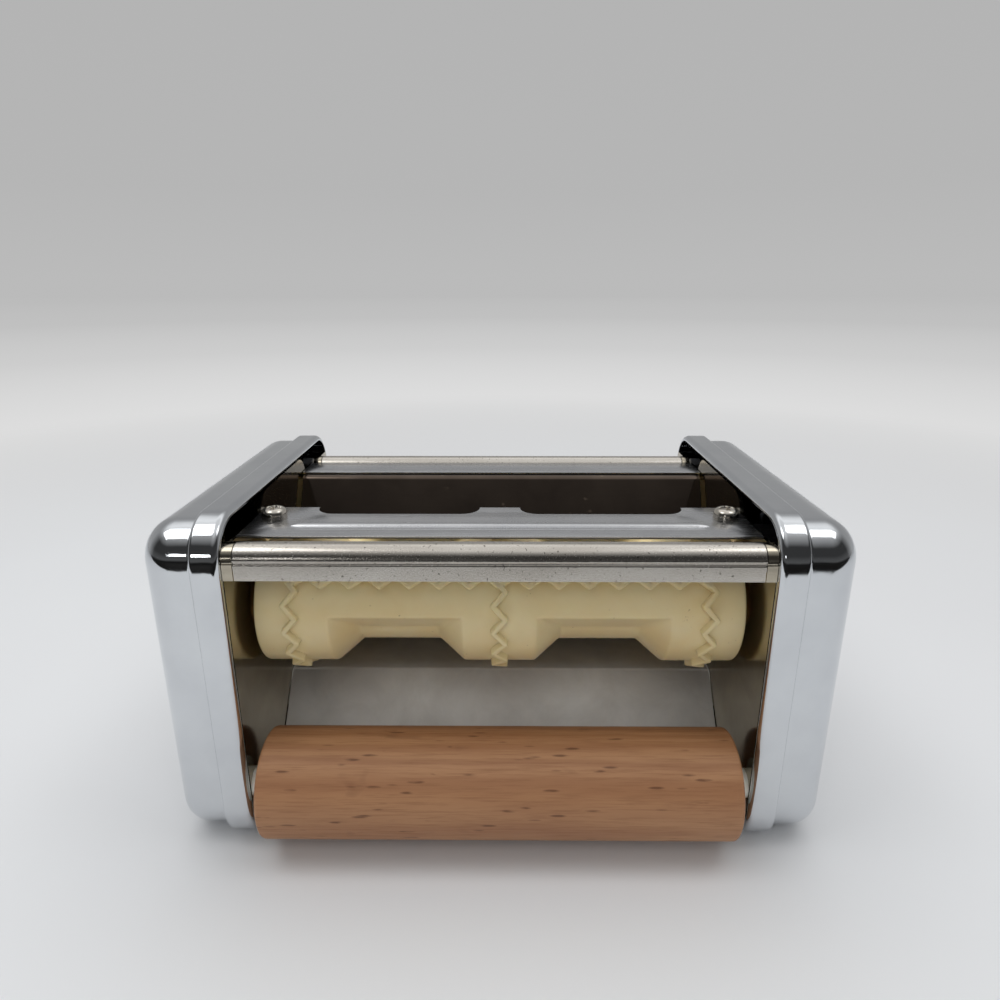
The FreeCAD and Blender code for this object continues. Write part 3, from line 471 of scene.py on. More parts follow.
def loft(rings, closed=False, cap_start=False, cap_end=False):
    """Quads between rings of equal count; closed joins the last ring to the first."""
    count = len(rings[0])
    points = [point for ring in rings for point in ring]
    faces = []
    spans = len(rings) if closed else len(rings) - 1
    for i in range(spans):
        a = i * count
        b = (i + 1) % len(rings) * count
        for j in range(count):
            k = (j + 1) % count
            faces.append([a + j, a + k, b + k, b + j])
    if cap_start:
        faces.append(list(range(count))[::-1])
    if cap_end:
        faces.append([(len(rings) - 1) * count + j for j in range(count)])
    return points, faces


def extruded(section, x0, x1):
    """A closed section of (y, z) points drawn out along X, with a held ring at each end."""
    hold = 0.3
    stations = [x0, x0 + hold, x1 - hold, x1]
    rings = [[(x, y, z) for y, z in section] for x in stations]
    return loft(rings, cap_start=True, cap_end=True)


def mirrored(part):
    """The part reflected from the right-hand side to the left."""
    points, faces = part
    return [(-x, y, z) for x, y, z in points], [face[::-1] for face in faces]


def at_back(part):
    """The part reflected in the upright plane midway between the two rails."""
    points, faces = part
    middle = (RAIL_LOW[1] + node_box("rear_rail")[1][1]) / 2
    return [(x, 2 * middle - y, z) for x, y, z in points], [face[::-1] for face in faces]


def at_rear_roller(part):
    """The part reflected in the plane through the nip, square to the line of roller centres."""
    points, faces = part
    gap_y = REAR_AXIS[0] - FRONT_AXIS[0]
    gap_z = REAR_AXIS[1] - FRONT_AXIS[1]
    length = math.hypot(gap_y, gap_z)
    ny, nz = gap_y / length, gap_z / length
    turned = []
    for x, y, z in points:
        ahead = (y - FRONT_AXIS[0]) * ny + (z - FRONT_AXIS[1]) * nz - length / 2
        turned.append((x, y - 2 * ahead * ny, z - 2 * ahead * nz))
    return turned, [face[::-1] for face in faces]


def rounded_path(points, radius, steps=6):
    """Rounds each inner corner of a polyline of 2-D points."""
    path = [points[0]]
    for before, here, after in zip(points, points[1:], points[2:]):
        into = Vector(here) - Vector(before)
        away = Vector(after) - Vector(here)
        turn = into.angle_signed(away)
        cut = min(abs(math.tan(turn / 2)) * radius, into.length * 0.45, away.length * 0.45)
        start = Vector(here) - into.normalized() * cut
        end = Vector(here) + away.normalized() * cut
        for i in range(steps + 1):
            t = i / steps
            point = start * (1 - t) ** 2 + Vector(here) * 2 * t * (1 - t) + end * t ** 2
            path.append(tuple(point))
    path.append(points[-1])
    return path


def offset_path(path, distance):
    """The polyline moved sideways to its left by a distance."""
    moved = []
    for i, here in enumerate(path):
        before = Vector(path[max(i - 1, 0)])
        after = Vector(path[min(i + 1, len(path) - 1)])
        along = (Vector(here) - before).normalized() + (after - Vector(here)).normalized()
        along.normalize()
        step = (after - Vector(here)) if i == 0 else (Vector(here) - before)
        lean = max(along.dot(step.normalized()), 0.5)
        moved.append((here[0] - along.y * distance / lean, here[1] + along.x * distance / lean))
    return moved


def bent_sheet(path, thickness, x0, x1):
    """Bent sheet of even thickness along a rounded path of (y, z) points."""
    held = hold_edges(path)
    return extruded(held + offset_path(held, thickness)[::-1], x0, x1)


# Covers

def rounded_ring(x, inset, corner_steps=14, side_points=(0.02, 0.5, 0.98)):
    """A ring round the cover at x, set in from the band's outline."""
    radius = max(COVER_CORNER - inset, 0.6)
    low_y = inset
    low_z = inset
    high_y = COVER_DEPTH - inset
    high_z = COVER_HEIGHT - inset
    centres = ((low_y + radius, low_z + radius, 180), (high_y - radius, low_z + radius, 270),
               (high_y - radius, high_z - radius, 0), (low_y + radius, high_z - radius, 90))
    ring = []
    corners = [arc((cy, cz), radius, turn, turn + 90, corner_steps) for cy, cz, turn in centres]
    for i, corner in enumerate(corners):
        ring.extend(corner)
        start = corner[-1]
        end = corners[(i + 1) % 4][0]
        for share in side_points:
            ring.append((start[0] + (end[0] - start[0]) * share, start[1] + (end[1] - start[1]) * share))
    return [(x, y, z) for y, z in ring]


def circle_ring(x, radius, like):
    """A ring about the driven shaft whose points face those of another ring."""
    centre_y, centre_z = FRONT_AXIS
    ring = []
    for _, y, z in like:
        turn = math.atan2(z - centre_z, y - centre_y)
        ring.append((x, centre_y + radius * math.cos(turn), centre_z + radius * math.sin(turn)))
    return ring


def cover_outside():
    """Profile of (x, inset) from the lip's inner edge to the outer face."""
    x0 = COVER_INNER
    band_end = x0 + BAND_WIDTH
    path = [(x0 + 0.3, COVER_WALL), (x0 + 0.05, COVER_WALL - 0.02)]
    path += arc((x0 + LIP_RADIUS, LIP_RADIUS), LIP_RADIUS, 180, 270, 8)
    path += arc((band_end - BAND_EDGE, BAND_EDGE), BAND_EDGE, 270, 360, 6)
    path += arc((band_end + STEP_FILLET, BAND_STEP - STEP_FILLET), STEP_FILLET, 180, 90, 5)
    path += arc((COVER_OUTER - BODY_EDGE, BAND_STEP + BODY_EDGE), BODY_EDGE, 270, 360, 16)
    path.append((COVER_OUTER, BAND_STEP + BODY_EDGE + 0.4))
    return hold_edges(path)


def cover_inside():
    """Profile of (x, inset) from the inner face back to the lip."""
    inner_x = COVER_OUTER - COVER_WALL
    edge = BODY_EDGE - COVER_WALL
    step_x = COVER_INNER + BAND_WIDTH - COVER_WALL
    wall = BAND_STEP + COVER_WALL
    path = [(inner_x, wall + edge + 0.4)]
    path += arc((inner_x - edge, wall + edge), edge, 0, -90, 10)
    path += [(step_x, wall), (step_x, COVER_WALL), (COVER_INNER + 0.5, COVER_WALL)]
    return hold_edges(path)


def cover_shell(with_hole):
    """Right-hand cover; the drive side's has a collared hole."""
    outside = [rounded_ring(x, inset) for x, inset in cover_outside()]
    inside = [rounded_ring(x, inset) for x, inset in cover_inside()]
    if not with_hole:
        outer = loft(outside, cap_end=True)
        inner = loft(inside, cap_start=True)
        join = loft([inside[-1], outside[0]])
        return [outer, inner, join]
    collar_x = COVER_OUTER + COLLAR_HEIGHT
    collar_radius = CRANK_HOLE + COLLAR_WALL
    round_edge = COLLAR_HEIGHT * 0.8
    like = outside[-1]
    collar = [(COVER_OUTER, collar_radius + 2.0), (COVER_OUTER, collar_radius + 0.3),
              (COVER_OUTER + 0.1, collar_radius + 0.1), (COVER_OUTER + 0.3, collar_radius)]
    edge_centre = (collar_radius - round_edge, collar_x - round_edge)
    collar += [(x, r) for r, x in arc(edge_centre, round_edge, 0, 90, 6)]
    collar += [(collar_x, CRANK_HOLE + 0.3), (collar_x - 0.1, CRANK_HOLE + 0.1), (collar_x - 0.3, CRANK_HOLE),
               (COVER_OUTER - COVER_WALL + 0.2, CRANK_HOLE), (COVER_OUTER - COVER_WALL, CRANK_HOLE + 0.2)]
    hole = [circle_ring(x, radius, like) for x, radius in collar]
    return [loft(outside + hole + inside, closed=True)]


def add_covers():
    """Both end covers."""
    left = [mirrored(part) for part in cover_shell(False)]
    make_piece("left_cover_shell", left, "left_cover", sharp=50)
    make_piece("right_cover_shell", cover_shell(True), "right_cover", sharp=50)


# Rails, tables, guide and chute

def rail_section():
    """Section of the front rail: skirt, creased groove, rolled bead and back lip."""
    front = RAIL_CENTRE_Y - RAIL_RADIUS
    skirt = front + RAIL_SETBACK
    groove = front + GROOVE_DEPTH
    centre = (RAIL_CENTRE_Y, RAIL_CENTRE_Z)
    outer = [(skirt, RAIL_LOW[2]), (skirt, RAIL_CENTRE_Z - GROOVE_HALF - 0.25),
             (skirt + 0.08, RAIL_CENTRE_Z - GROOVE_HALF - 0.05), (groove, RAIL_CENTRE_Z - GROOVE_HALF + 0.25),
             (groove, RAIL_CENTRE_Z + GROOVE_HALF - 0.25), (front + 0.12, RAIL_CENTRE_Z + GROOVE_HALF)]
    outer += arc(centre, RAIL_RADIUS, 172, 0, 26)
    outer.append((RAIL_CENTRE_Y + RAIL_RADIUS, RAIL_BACK_BOTTOM))
    inner_radius = RAIL_RADIUS - SHEET
    inner = [(RAIL_CENTRE_Y + inner_radius, RAIL_BACK_BOTTOM)]
    inner += arc(centre, inner_radius, 0, 168, 18)
    inner += [(groove + SHEET, RAIL_CENTRE_Z + GROOVE_HALF), (groove + SHEET, RAIL_CENTRE_Z - GROOVE_HALF),
              (skirt + SHEET, RAIL_CENTRE_Z - GROOVE_HALF - 0.3), (skirt + SHEET, RAIL_LOW[2])]
    return hold_edges(outer, 0.12) + hold_edges(inner, 0.12)


def add_rails():
    """Front rail, and the rear one as its mirror image."""
    rail = extruded(rail_section(), -RAIL_HALF, RAIL_HALF)
    make_piece("front_rail_sheet", [rail], "front_rail", bevel=0.1)
    make_piece("rear_rail_sheet", [at_back(rail)], "rear_rail", bevel=0.1)


def notch_outline(sign):
    """The back edge of the table through one notch, from its outer to its inner end."""
    back = TABLE_HIGH[1]
    floor_y = back - NOTCH_DEPTH
    outer = [(NOTCH_OUTER, back), (NOTCH_OUTER, floor_y + NOTCH_CORNER)]
    outer += arc((NOTCH_OUTER - NOTCH_CORNER, floor_y + NOTCH_CORNER), NOTCH_CORNER, 0, -90, 8)
    outer += arc((NOTCH_INNER + NOTCH_CORNER, floor_y + NOTCH_CORNER), NOTCH_CORNER, -90, -180, 8)
    outer.append((NOTCH_INNER, back))
    return outer if sign > 0 else [(-x, y) for x, y in outer[::-1]]


def table_plate():
    """Front table: outline with two notches."""
    front = TABLE_LOW[1]
    outline = [(-TABLE_HALF, front), (TABLE_HALF, front), (TABLE_HALF, TABLE_HIGH[1])]
    outline += notch_outline(1) + notch_outline(-1) + [(-TABLE_HALF, TABLE_HIGH[1])]
    rings = [[(x, y, z) for x, y in outline] for z in (TABLE_TOP - SHEET, TABLE_TOP)]
    return loft(rings, cap_start=True, cap_end=True)


def pressed_rib():
    """Low rib pressed up in the table, steeper at its front, with tapered ends."""
    stations = 96
    middle = sum(y for y, _ in RIB_PROFILE) / len(RIB_PROFILE)
    rings = []
    for i in range(stations + 1):
        x = -RIB_HALF_LENGTH + 2 * RIB_HALF_LENGTH * (0.5 - 0.5 * math.cos(math.pi * i / stations))
        swell = math.sin(min(1.0, (RIB_HALF_LENGTH - abs(x)) / RIB_TAPER) * math.pi / 2) ** 0.7
        swell = max(swell, 0.03)
        rings.append([(x, middle + (y - middle) * swell, TABLE_TOP + z * swell) for y, z in RIB_PROFILE])
    return loft(rings, cap_start=True, cap_end=True)


def add_tables():
    """Front table with its pressed rib, and the plain rear table."""
    make_piece("front_table_sheet", [table_plate(), pressed_rib()], "front_table", bevel=0.25, sharp=40)
    y0 = REAR_TABLE_LOW[1]
    y1 = REAR_TABLE_HIGH[1]
    section = [(y0, TABLE_TOP - SHEET), (y1, TABLE_TOP - SHEET), (y1, TABLE_TOP), (y0, TABLE_TOP)]
    make_piece("rear_table_sheet", [extruded(section, -TABLE_HALF, TABLE_HALF)], "rear_table", bevel=0.25)


def add_guide():
    """Sheet that leaves the rear table in a bend and drops steeply to just above the rear roller."""
    low, high = node_box("guide_plate")
    slope = math.radians(GUIDE_SLOPE)
    top_z = high[2]
    centre = (GUIDE_BEND_Y, top_z - GUIDE_BEND)
    bend = arc(centre, GUIDE_BEND, 90, 90 + GUIDE_SLOPE, 14)
    length = (bend[-1][1] - low[2] - SHEET * math.cos(slope)) / math.sin(slope)
    end = (bend[-1][0] - length * math.cos(slope), bend[-1][1] - length * math.sin(slope))
    path = [(high[1], top_z)] + bend + [end]
    make_piece("guide_sheet", [bent_sheet(path, SHEET, low[0], high[0])], "guide_plate", bevel=0.1)


def add_chute():
    """Bent chute sheet with a back wall, a gentle slope and a steep face."""
    top_z = CHUTE_HIGH[2]
    path = [(CHUTE_BACK_Y, top_z), (CHUTE_BACK_Y, CHUTE_BACK_Z), (CHUTE_BACK_Y - CHUTE_FOOT, CHUTE_BACK_Z),
            CHUTE_EDGE, CHUTE_LIP]
    section = rounded_path(path, BEND_RADIUS * 2)
    sheet = bent_sheet(section, SHEET, -TABLE_HALF, TABLE_HALF)
    make_piece("chute_sheet", [sheet], "discharge_chute", bevel=0.1)


# Rollers

def smooth_max(a, b, blend):
    """The larger of two values, with a rounded change-over."""
    h = np.clip(0.5 + 0.5 * (a - b) / blend, 0, 1)
    return b * (1 - h) + a * h + blend * h * (1 - h)


def smooth_min(a, b, blend):
    """The smaller of two values, with a rounded change-over."""
    return -smooth_max(-a, -b, blend)


def drum_radius(angle, x):
    """Radius of the drum at angles (degrees, 0 at the front and growing upwards) and x."""
    row = (angle - (ROW_ANGLE - 90) + 90) % 180 - 90
    phi = np.radians(np.abs(row))
    u = np.abs(np.abs(x) - RAVIOLI_WIDTH / 2)
    slope = (ROLLER_RADIUS - POCKET_FLOOR) / (POCKET_HALF - POCKET_FLOOR_HALF)
    side = POCKET_FLOOR + (u - POCKET_FLOOR_HALF) * slope
    edge = math.radians(POCKET_EDGE_ANGLE)
    foot = math.radians(POCKET_FOOT_ANGLE)
    edge_t, edge_n = ROLLER_RADIUS * math.sin(edge), ROLLER_RADIUS * math.cos(edge)
    foot_t, foot_n = POCKET_FLOOR * math.sin(foot), POCKET_FLOOR * math.cos(foot)
    fall = (foot_n - edge_n) / (edge_t - foot_t)
    flank = (foot_n + fall * foot_t) / np.maximum(np.cos(phi) + fall * np.sin(phi), 0.05)
    hollow = smooth_max(smooth_max(side, flank, 0.5), np.full_like(side, POCKET_FLOOR), 0.4)
    return smooth_min(hollow, np.full_like(side, ROLLER_RADIUS), 0.5)


def spaced(breaks, fine, coarse):
    """Stations between break points: fine steps near each break and coarse ones between."""
    values = []
    for a, b in zip(breaks, breaks[1:]):
        count = max(2, round((b - a) / coarse))
        span = [a + (b - a) * 0.5 * (1 - math.cos(math.pi * i / count)) for i in range(count)]
        values.extend(span)
    values.append(breaks[-1])
    kept = [values[0]]
    for value in values[1:]:
        if value - kept[-1] > fine * 0.5:
            kept.append(value)
    return kept


def drum(axis):
    """Roller drum with its pockets, rounded rims, end faces and shaft hole."""
    wall = POCKET_HALF - POCKET_FLOOR_HALF
    half = RAVIOLI_WIDTH / 2
    edges = []
    for centre in (-half, half):
        for reach in (POCKET_HALF, POCKET_HALF - wall, 0):
            edges += [centre - reach, centre + reach]
    rim = ROLLER_RIM
    breaks = sorted(set([-ROLLER_HALF + rim] + edges + [0, ROLLER_HALF - rim]))
    stations = spaced(breaks, 0.3, 1.1)
    count = 288
    angles = np.arange(count) * 360.0 / count
    turn = np.radians(angles)
    rings = []

    def ring(x, radii):
        """One ring of the drum at x."""
        return [(x, axis[0] - r * math.cos(t), axis[1] + r * math.sin(t)) for r, t in zip(radii, turn)]

    inner_x = ROLLER_HALF - rim
    rings.append(ring(-ROLLER_HALF + SHOWN_BORE, [SHAFT_HOLE] * count))
    rings.append(ring(-ROLLER_HALF + 0.2, [SHAFT_HOLE] * count))
    rings.append(ring(-ROLLER_HALF, [SHAFT_HOLE + 0.2] * count))
    rings.append(ring(-ROLLER_HALF, [ROLLER_RADIUS - rim - 0.3] * count))
    rim_arc = arc((inner_x, ROLLER_RADIUS - rim), rim, 0, 90, 5)
    for x, r in rim_arc[:-1]:
        rings.append(ring(-x, [r] * count))
    for x in stations:
        rings.append(ring(x, drum_radius(angles, np.full(count, x))))
    for x, r in rim_arc[:-1][::-1]:
        rings.append(ring(x, [r] * count))
    rings.append(ring(ROLLER_HALF, [ROLLER_RADIUS - rim - 0.3] * count))
    rings.append(ring(ROLLER_HALF, [SHAFT_HOLE + 0.2] * count))
    rings.append(ring(ROLLER_HALF - 0.2, [SHAFT_HOLE] * count))
    rings.append(ring(ROLLER_HALF - SHOWN_BORE, [SHAFT_HOLE] * count))
    return loft(rings, cap_start=True, cap_end=True)


def ridge_strip(path, axis, closed):
    """A cutting ridge along a polyline of (angle, x) points: sloping sides and a rounded crest."""
    tip = RIDGE_TIP
    around = math.radians(1) * tip
    flat = [Vector((angle * around, x)) for angle, x in path]
    foot = ROLLER_RADIUS - 0.8
    half_foot = RIDGE_FOOT_WIDTH / 2
    half_top = RIDGE_WIDTH / 2
    half = [(half_foot, foot), (half_top + 0.05, tip - RIDGE_ROUND),
            (half_top - RIDGE_ROUND * 0.3, tip - 0.1), (half_top - RIDGE_ROUND, tip)]
    section = [(-offset, radius) for offset, radius in half] + half[::-1]
    rings = []
    total = len(flat)
    for i, here in enumerate(flat):
        before = flat[i - 1] if i or closed else here - (flat[1] - here)
        after = flat[(i + 1) % total] if i < total - 1 or closed else here + (here - before)
        if closed and i == 0:
            before = before + Vector((360 * around, 0)) * round((here.x - before.x) / (360 * around))
        if closed and i == total - 1:
            after = after + Vector((360 * around, 0)) * round((here.x - after.x) / (360 * around))
        into = (here - before).normalized()
        away = (after - here).normalized()
        side = Vector((-(into + away).y, (into + away).x)).normalized()
        reach = 1 / max(side.dot(Vector((-into.y, into.x))), 0.4)
        ring = []
        for offset, radius in section:
            spot = here + side * offset * reach
            angle = spot.x / tip
            ring.append((spot.y, axis[0] - radius * math.cos(angle), axis[1] + radius * math.sin(angle)))
        rings.append(ring)
    return loft(rings, closed=closed, cap_start=not closed, cap_end=not closed)


def softened(path, closed, cut=0.06, steps=3):
    """The zigzag with its points slightly rounded."""
    total = len(path)
    soft = []
    for i, here in enumerate(path):
        if not closed and i in (0, total - 1):
            soft.append(here)
            continue
        before = path[i - 1]
        after = path[(i + 1) % total]
        here_v = Vector(here)
        before_v = Vector(before)
        after_v = Vector(after)
        if closed and i == 0:
            before_v.x += 360 * round((here_v.x - before_v.x) / 360)
        if closed and i == total - 1:
            after_v.x += 360 * round((here_v.x - after_v.x) / 360)
        start = here_v.lerp(before_v, cut)
        end = here_v.lerp(after_v, cut)
        for k in range(steps + 1):
            t = k / steps
            soft.append(tuple(start * (1 - t) ** 2 + here_v * 2 * t * (1 - t) + end * t ** 2))
    return soft


def ridges(axis):
    """Three zigzag rings around the drum and two zigzag rows across it."""
    parts = []
    half_step = 180.0 / TEETH_AROUND
    for line in (-1, 0, 1):
        path = [(ZIGZAG_PHASE - step * half_step,
                 line * RAVIOLI_WIDTH + (ZIGZAG if step % 2 == 0 else -ZIGZAG))
                for step in range(2 * TEETH_AROUND)]
        parts.append(ridge_strip(softened(path, True), axis, True))
    swing = math.degrees(ZIGZAG / RIDGE_TIP)
    pitch = RAVIOLI_WIDTH / TEETH_ACROSS
    for row in (0, 180):
        path = [(ROW_ANGLE + row + (-swing if step % 2 == 0 else swing), -RAVIOLI_WIDTH + step * pitch / 2)
                for step in range(4 * TEETH_ACROSS + 1)]
        parts.append(ridge_strip(softened(path, False), axis, False))
    return parts


def add_rollers():
    """Both ravioli rollers, the rear one as the mirror image of the front one."""
    parts = [drum(FRONT_AXIS)] + ridges(FRONT_AXIS)
    make_piece("front_ravioli_roller", parts, "front_roller", sharp=38)
    make_piece("rear_ravioli_roller", [at_rear_roller(part) for part in parts], "rear_roller", sharp=38)


def lathe(profile, axis, count):
    """A profile of (x, radius) points turned about an axis along X."""
    turns = [2 * math.pi * i / count for i in range(count)]
    rings = [[(x, axis[0] + r * math.cos(t), axis[1] + r * math.sin(t)) for t in turns] for x, r in profile]
    return loft(rings, cap_start=True, cap_end=True)


def add_wood_roller():
    """Beech roller with softly rounded ends and a recess for each bush."""
    inner = [(WOOD_HALF - WOOD_BUSH_DEPTH, WOOD_BUSH_HOLE), (WOOD_HALF - 0.3, WOOD_BUSH_HOLE),
             (WOOD_HALF, WOOD_BUSH_HOLE + 0.3)]
    rim = arc((WOOD_HALF - WOOD_EDGE, WOOD_RADIUS - WOOD_EDGE), WOOD_EDGE, 0, 90, 8)
    right = inner + rim
    profile = [(-x, r) for x, r in right] + right[::-1]
    make_piece("beech_roller", [lathe(hold_edges(profile, 0.4), WOOD_AXIS, 160)], "wood_roller", sharp=50)


# Table screws

def screw_head(sign):
    """Pan head with a cross recess, seen from above."""
    rings = []
    rim_count = 72
    steps = 22
    top = TABLE_TOP + SCREW_HEIGHT
    for i in range(steps + 1):
        share = i / steps
        radius = SCREW_RADIUS * math.sin(share * math.pi / 2) ** 0.9
        ring = []
        for j in range(rim_count):
            turn = 2 * math.pi * j / rim_count
            x = radius * math.cos(turn)
            y = radius * math.sin(turn)
            dome = top - SCREW_HEIGHT * (1 - math.sqrt(max(0.0, 1 - (radius / SCREW_RADIUS) ** 4.0))) * 0.7
            arm = min(abs(x), abs(y))
            reach = max(abs(x), abs(y))
            slot = max(0.0, 1 - max(0.0, (arm - RECESS_HALF_WIDTH) / 0.22))
            slot *= max(0.0, min(1.0, (RECESS_HALF_LENGTH - reach) / 0.5))
            ring.append((sign * SCREW_X + x, SCREW_Y + y, dome - RECESS_DEPTH * min(1.0, slot)))
        rings.append(ring)
    skirt = [(sign * SCREW_X + SCREW_RADIUS * math.cos(2 * math.pi * j / rim_count),
              SCREW_Y + SCREW_RADIUS * math.sin(2 * math.pi * j / rim_count), TABLE_TOP)
             for j in range(rim_count)]
    rings.append(skirt)
    return loft(rings, cap_end=True)


def screw_shank(sign):
    """Threaded shank below the head, drawn as rings of crests."""
    length = TABLE_TOP - node_box("table_screws")[0][2]
    rings = []
    for i in range(25):
        z = TABLE_TOP - 0.1 - (length - 0.1) * i / 24
        radius = THREAD_RADIUS + THREAD_HEIGHT * math.cos(2 * math.pi * (TABLE_TOP - z) / THREAD_PITCH)
        ring = []
        for j in range(24):
            turn = 2 * math.pi * j / 24
            ring.append((sign * SCREW_X + radius * math.cos(turn), SCREW_Y + radius * math.sin(turn), z))
        rings.append(ring)
    return loft(rings, cap_start=True, cap_end=True)


def add_screws():
    """Both table screws as one piece."""
    parts = [screw_head(-1), screw_head(1), screw_shank(-1), screw_shank(1)]
    make_piece("table_screw_pair", parts, "table_screws", sharp=60)


# Nodes whose CAD shape is shown as it is

def finish_cad_nodes():
    """Gives the CAD nodes that stay visible their own materials."""
    for name, piece in frame["nodes"].items():
        if not piece.hide_render:
            piece.data.materials.clear()
            piece.data.materials.append(MATERIALS[NODE_SLOT[name]])


# Stage, light and camera

FLOOR_SIZE = 12.0
# In front of this line, rays other than camera rays see near-black paper: painted dark reflection of the room in
# front
DARK_FRONT_EDGE = -0.30
PAPER_FADE = (0.35, 0.80)
PAPER_REACH = 6.0
# Glow by distance that the camera sees on the far paper: painted light falloff, brightest about 0.85 m away
PAINTED_PAPER_LIGHT = ((0.0, 0.64), (0.6, 0.69), (0.85, 0.72), (1.6, 0.61), (3.0, 0.53), (6.0, 0.50))
# Light by elevation in degrees, behind the machine, in front of it, and as the camera sees it
BACK_LIGHT = ((-90, 0.45), (0, 0.45), (12, 0.38), (35, 0.36), (44, 0.52), (52, 0.95), (60, 1.15),
              (72, 0.88), (90, 0.85))
FRONT_LIGHT = ((-90, 0.01), (-2, 0.01), (3, 0.10), (9, 0.08), (16, 0.045), (36, 0.045), (46, 0.24),
               (56, 0.42), (66, 0.72), (76, 0.88), (90, 0.85))
SEEN_LIGHT = ((-90, 0.50), (0, 0.495), (6, 0.465), (18, 0.455), (90, 0.45))
LIGHT_SCALE = 2.0
# Place, target, size, watts, and whether it shows in the metal
LIGHTS = {
    "left_softbox": ((-0.55, -0.20, 1.05), (0, 0, 0.08), (0.50, 0.45), 1.4, True),
    "right_softbox": ((0.55, -0.12, 1.05), (0, 0, 0.08), (0.40, 0.40), 0.8, True),
    "left_window": ((-0.66, -1.28, 0.47), (-0.085, -0.05, 0.10), (0.07, 0.13), 0.16, True),
    "right_window": ((-0.50, -1.33, 0.47), (-0.085, -0.05, 0.10), (0.07, 0.13), 0.16, True),
    "front_fill": ((0.0, -1.05, 0.85), (0, 0, 0.05), (1.6, 0.9), 4.6, False),
    "top_fill": ((0.0, 0.35, 1.25), (0, 0, 0.05), (1.6, 1.2), 5.0, False),
}
CAMERA_PLACE = (2.03, -179.18, 175.4)
CAMERA_PITCH = 17.78
CAMERA_YAW = -0.52
CAMERA_ROLL = -0.08
FOCAL_PIXELS = 697.99
PHOTO_PIXELS = 1000
SENSOR = 36.0


def grey_ramp(tree, share, stops):
    """Grey by a value of 0 to 1: stops of (value, brightness)."""
    grades = tree.nodes.new("ShaderNodeValToRGB")
    tree.links.new(share, grades.inputs[0])
    elements = grades.color_ramp.elements
    while len(elements) < len(stops):
        elements.new(0.5)
    for element, (value, light) in zip(elements, stops):
        element.position = value
    for element, (value, light) in zip(elements, stops):
        element.color = (light, light, light, 1.0)
    return grades.outputs["Color"]


def stage_material():
    """Pale matt paper. In front of its edge, rays other than camera rays see it near-black: a painted dark
    reflection of the room in front, which also dims bounce light. Far from the machine the camera sees a glow
    graded by distance: painted light falloff across the paper.
    """
    material, tree, shader = new_material("pale_paper")
    cloud = noise(tree, coords(tree), 1.6, 3.0, 0.5)
    paper = mix(tree, ramp(tree, cloud, 0.3, 0.7), rgb(226, 227, 229), rgb(231, 233, 235))
    camera = node(tree, "ShaderNodeLightPath").outputs["Is Camera Ray"]
    # Near-black for every ray but the camera's in front of the edge: painted dark reflection and painted shade of
    # the room in front
    ahead = node(tree, "ShaderNodeSeparateXYZ", {"Vector": coords(tree)}).outputs["Y"]
    beyond = ramp(tree, ahead, DARK_FRONT_EDGE - 0.004, DARK_FRONT_EDGE + 0.004, 1.0, 0.0)
    painted_dark_front = maths(tree, "MULTIPLY", beyond, maths(tree, "SUBTRACT", 1.0, camera))
    link(tree, mix(tree, painted_dark_front, paper, rgb(16, 14, 13)), shader, "Base Color")
    shader.inputs["Roughness"].default_value = 0.6
    shader.inputs["Specular IOR Level"].default_value = 0.1
    # The camera sees the distant floor as a glow graded by distance: painted light falloff across the paper
    away = node(tree, "ShaderNodeVectorMath", {0: coords(tree)}, operation="LENGTH").outputs["Value"]
    painted_paper_light = grey_ramp(tree, maths(tree, "DIVIDE", away, PAPER_REACH),
                          [(distance / PAPER_REACH, light) for distance, light in PAINTED_PAPER_LIGHT])
    painted_glow = node(tree, "ShaderNodeEmission", {"Color": painted_paper_light})
    fade = maths(tree, "MULTIPLY", camera, ramp(tree, away, PAPER_FADE[0], PAPER_FADE[1]))
    blend = node(tree, "ShaderNodeMixShader", {0: fade, 1: shader.outputs[0], 2: painted_glow.outputs[0]})
    tree.links.new(blend.outputs[0], tree.nodes["Material Output"].inputs[0])
    return material


def add_stage():
    """A wide pale floor."""
    half = FLOOR_SIZE / 2
    mesh = bpy.data.meshes.new("paper_floor")
    corners = [(-half, -half, BASE_Z), (half, -half, BASE_Z), (half, half, BASE_Z), (-half, half, BASE_Z)]
    mesh.from_pydata(corners, [], [[0, 1, 2, 3]])
    mesh.materials.append(stage_material())
    floor = bpy.data.objects.new("paper_floor", mesh)
    bpy.context.scene.collection.objects.link(floor)


def area_light(name, place, target, size, energy):
    """A rectangular light at a place, aimed at a target."""
    light = bpy.data.lights.new(name, "AREA")
    light.shape = "RECTANGLE"
    light.size = size[0]
    light.size_y = size[1]
    light.energy = energy
    lamp = bpy.data.objects.new(name, light)
    lamp.location = place
    lamp.rotation_euler = (Vector(target) - Vector(place)).to_track_quat("-Z", "Y").to_euler()
    bpy.context.scene.collection.objects.link(lamp)
    return lamp


def sky(tree, height, stops):
    """Grey light by elevation: stops of (degrees, brightness)."""
    share = maths(tree, "MULTIPLY", maths(tree, "ADD", height, 1.0), 0.5)
    return grey_ramp(tree, share, [((math.sin(math.radians(degrees)) + 1) / 2, light / LIGHT_SCALE)
                                   for degrees, light in stops])


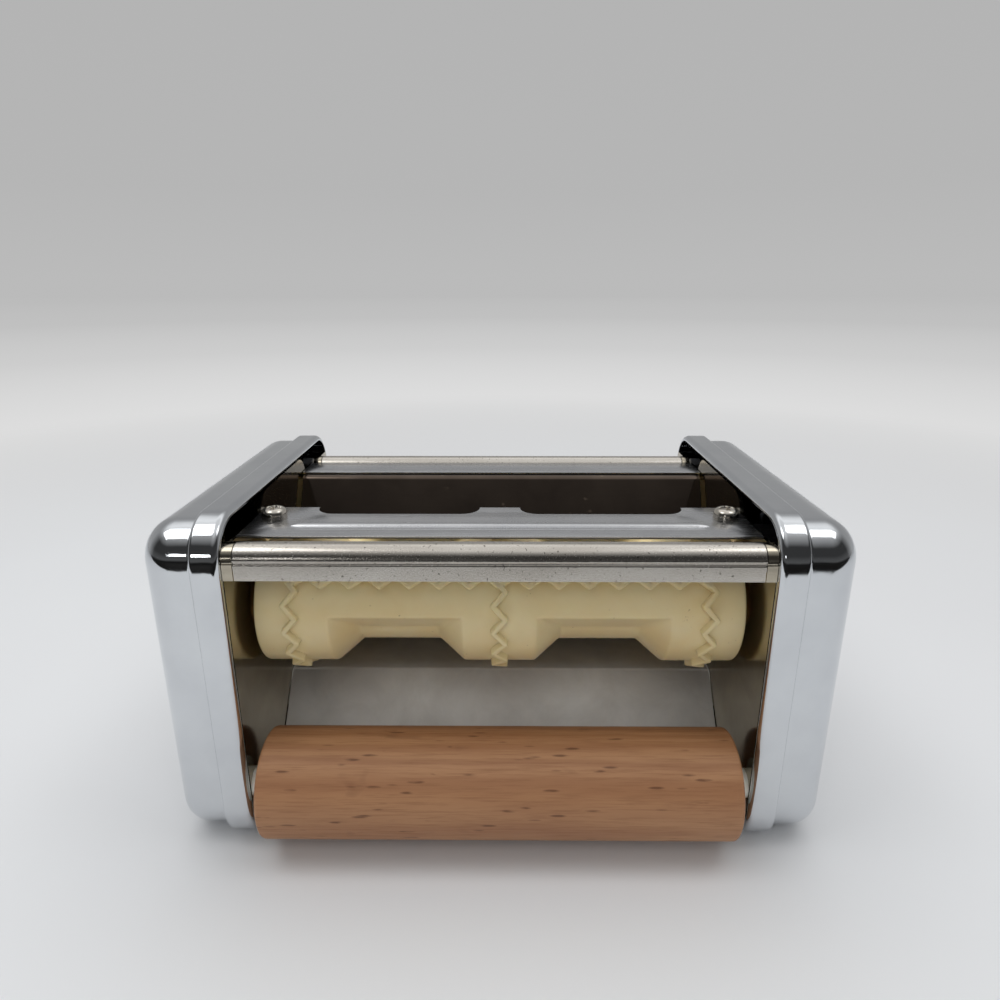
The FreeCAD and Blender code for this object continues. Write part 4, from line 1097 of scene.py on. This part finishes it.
def add_world():
    """Soft room: bright overhead, pale behind and dim in front; the camera itself sees a pale backdrop."""
    world = bpy.data.worlds.new("soft_room")
    bpy.context.scene.world = world
    world.use_nodes = True
    tree = world.node_tree
    tree.nodes.clear()
    output = tree.nodes.new("ShaderNodeOutputWorld")
    background = tree.nodes.new("ShaderNodeBackground")
    tree.links.new(background.outputs[0], output.inputs[0])
    direction = node(tree, "ShaderNodeTexCoord").outputs["Generated"]
    split = node(tree, "ShaderNodeSeparateXYZ", {"Vector": direction})
    height = split.outputs["Z"]
    front = ramp(tree, split.outputs["Y"], -0.25, 0.25, 1.0, 0.0)
    room = mix(tree, front, sky(tree, height, BACK_LIGHT), sky(tree, height, FRONT_LIGHT))
    seen = node(tree, "ShaderNodeLightPath").outputs["Is Camera Ray"]
    tree.links.new(mix(tree, seen, room, sky(tree, height, SEEN_LIGHT)), background.inputs[0])
    background.inputs[1].default_value = LIGHT_SCALE


def add_lights():
    """Two softboxes and two small windows that show in the metal, and two fills for matt surfaces only."""
    for name, (place, target, size, energy, in_metal) in LIGHTS.items():
        area_light(name, place, target, size, energy).visible_glossy = in_metal


def add_camera():
    """The camera that took the photograph, from a fit to the covers' edges."""
    camera = bpy.data.cameras.new("photo_camera")
    camera.sensor_fit = "HORIZONTAL"
    camera.sensor_width = SENSOR
    camera.lens = FOCAL_PIXELS / PHOTO_PIXELS * SENSOR
    camera.clip_start = 0.01
    eye = bpy.data.objects.new("photo_camera", camera)
    pitch = math.radians(CAMERA_PITCH)
    yaw = math.radians(CAMERA_YAW)
    forward = Vector((math.sin(yaw) * math.cos(pitch), math.cos(yaw) * math.cos(pitch), -math.sin(pitch)))
    right = Vector((math.cos(yaw), -math.sin(yaw), 0))
    up = right.cross(forward)
    roll = math.radians(CAMERA_ROLL)
    right, up = right * math.cos(roll) + up * math.sin(roll), up * math.cos(roll) - right * math.sin(roll)
    turn = Matrix((right, up, -forward)).transposed().to_4x4()
    turn.translation = Vector(put(*CAMERA_PLACE))
    eye.matrix_world = turn
    bpy.context.scene.collection.objects.link(eye)
    bpy.context.scene.camera = eye


add_camera()
add_covers()
add_rails()
add_tables()
add_guide()
add_chute()
add_rollers()
add_wood_roller()
add_screws()
finish_cad_nodes()
add_stage()
add_world()
add_lights()
bpy.context.scene.view_settings.view_transform = "Standard"
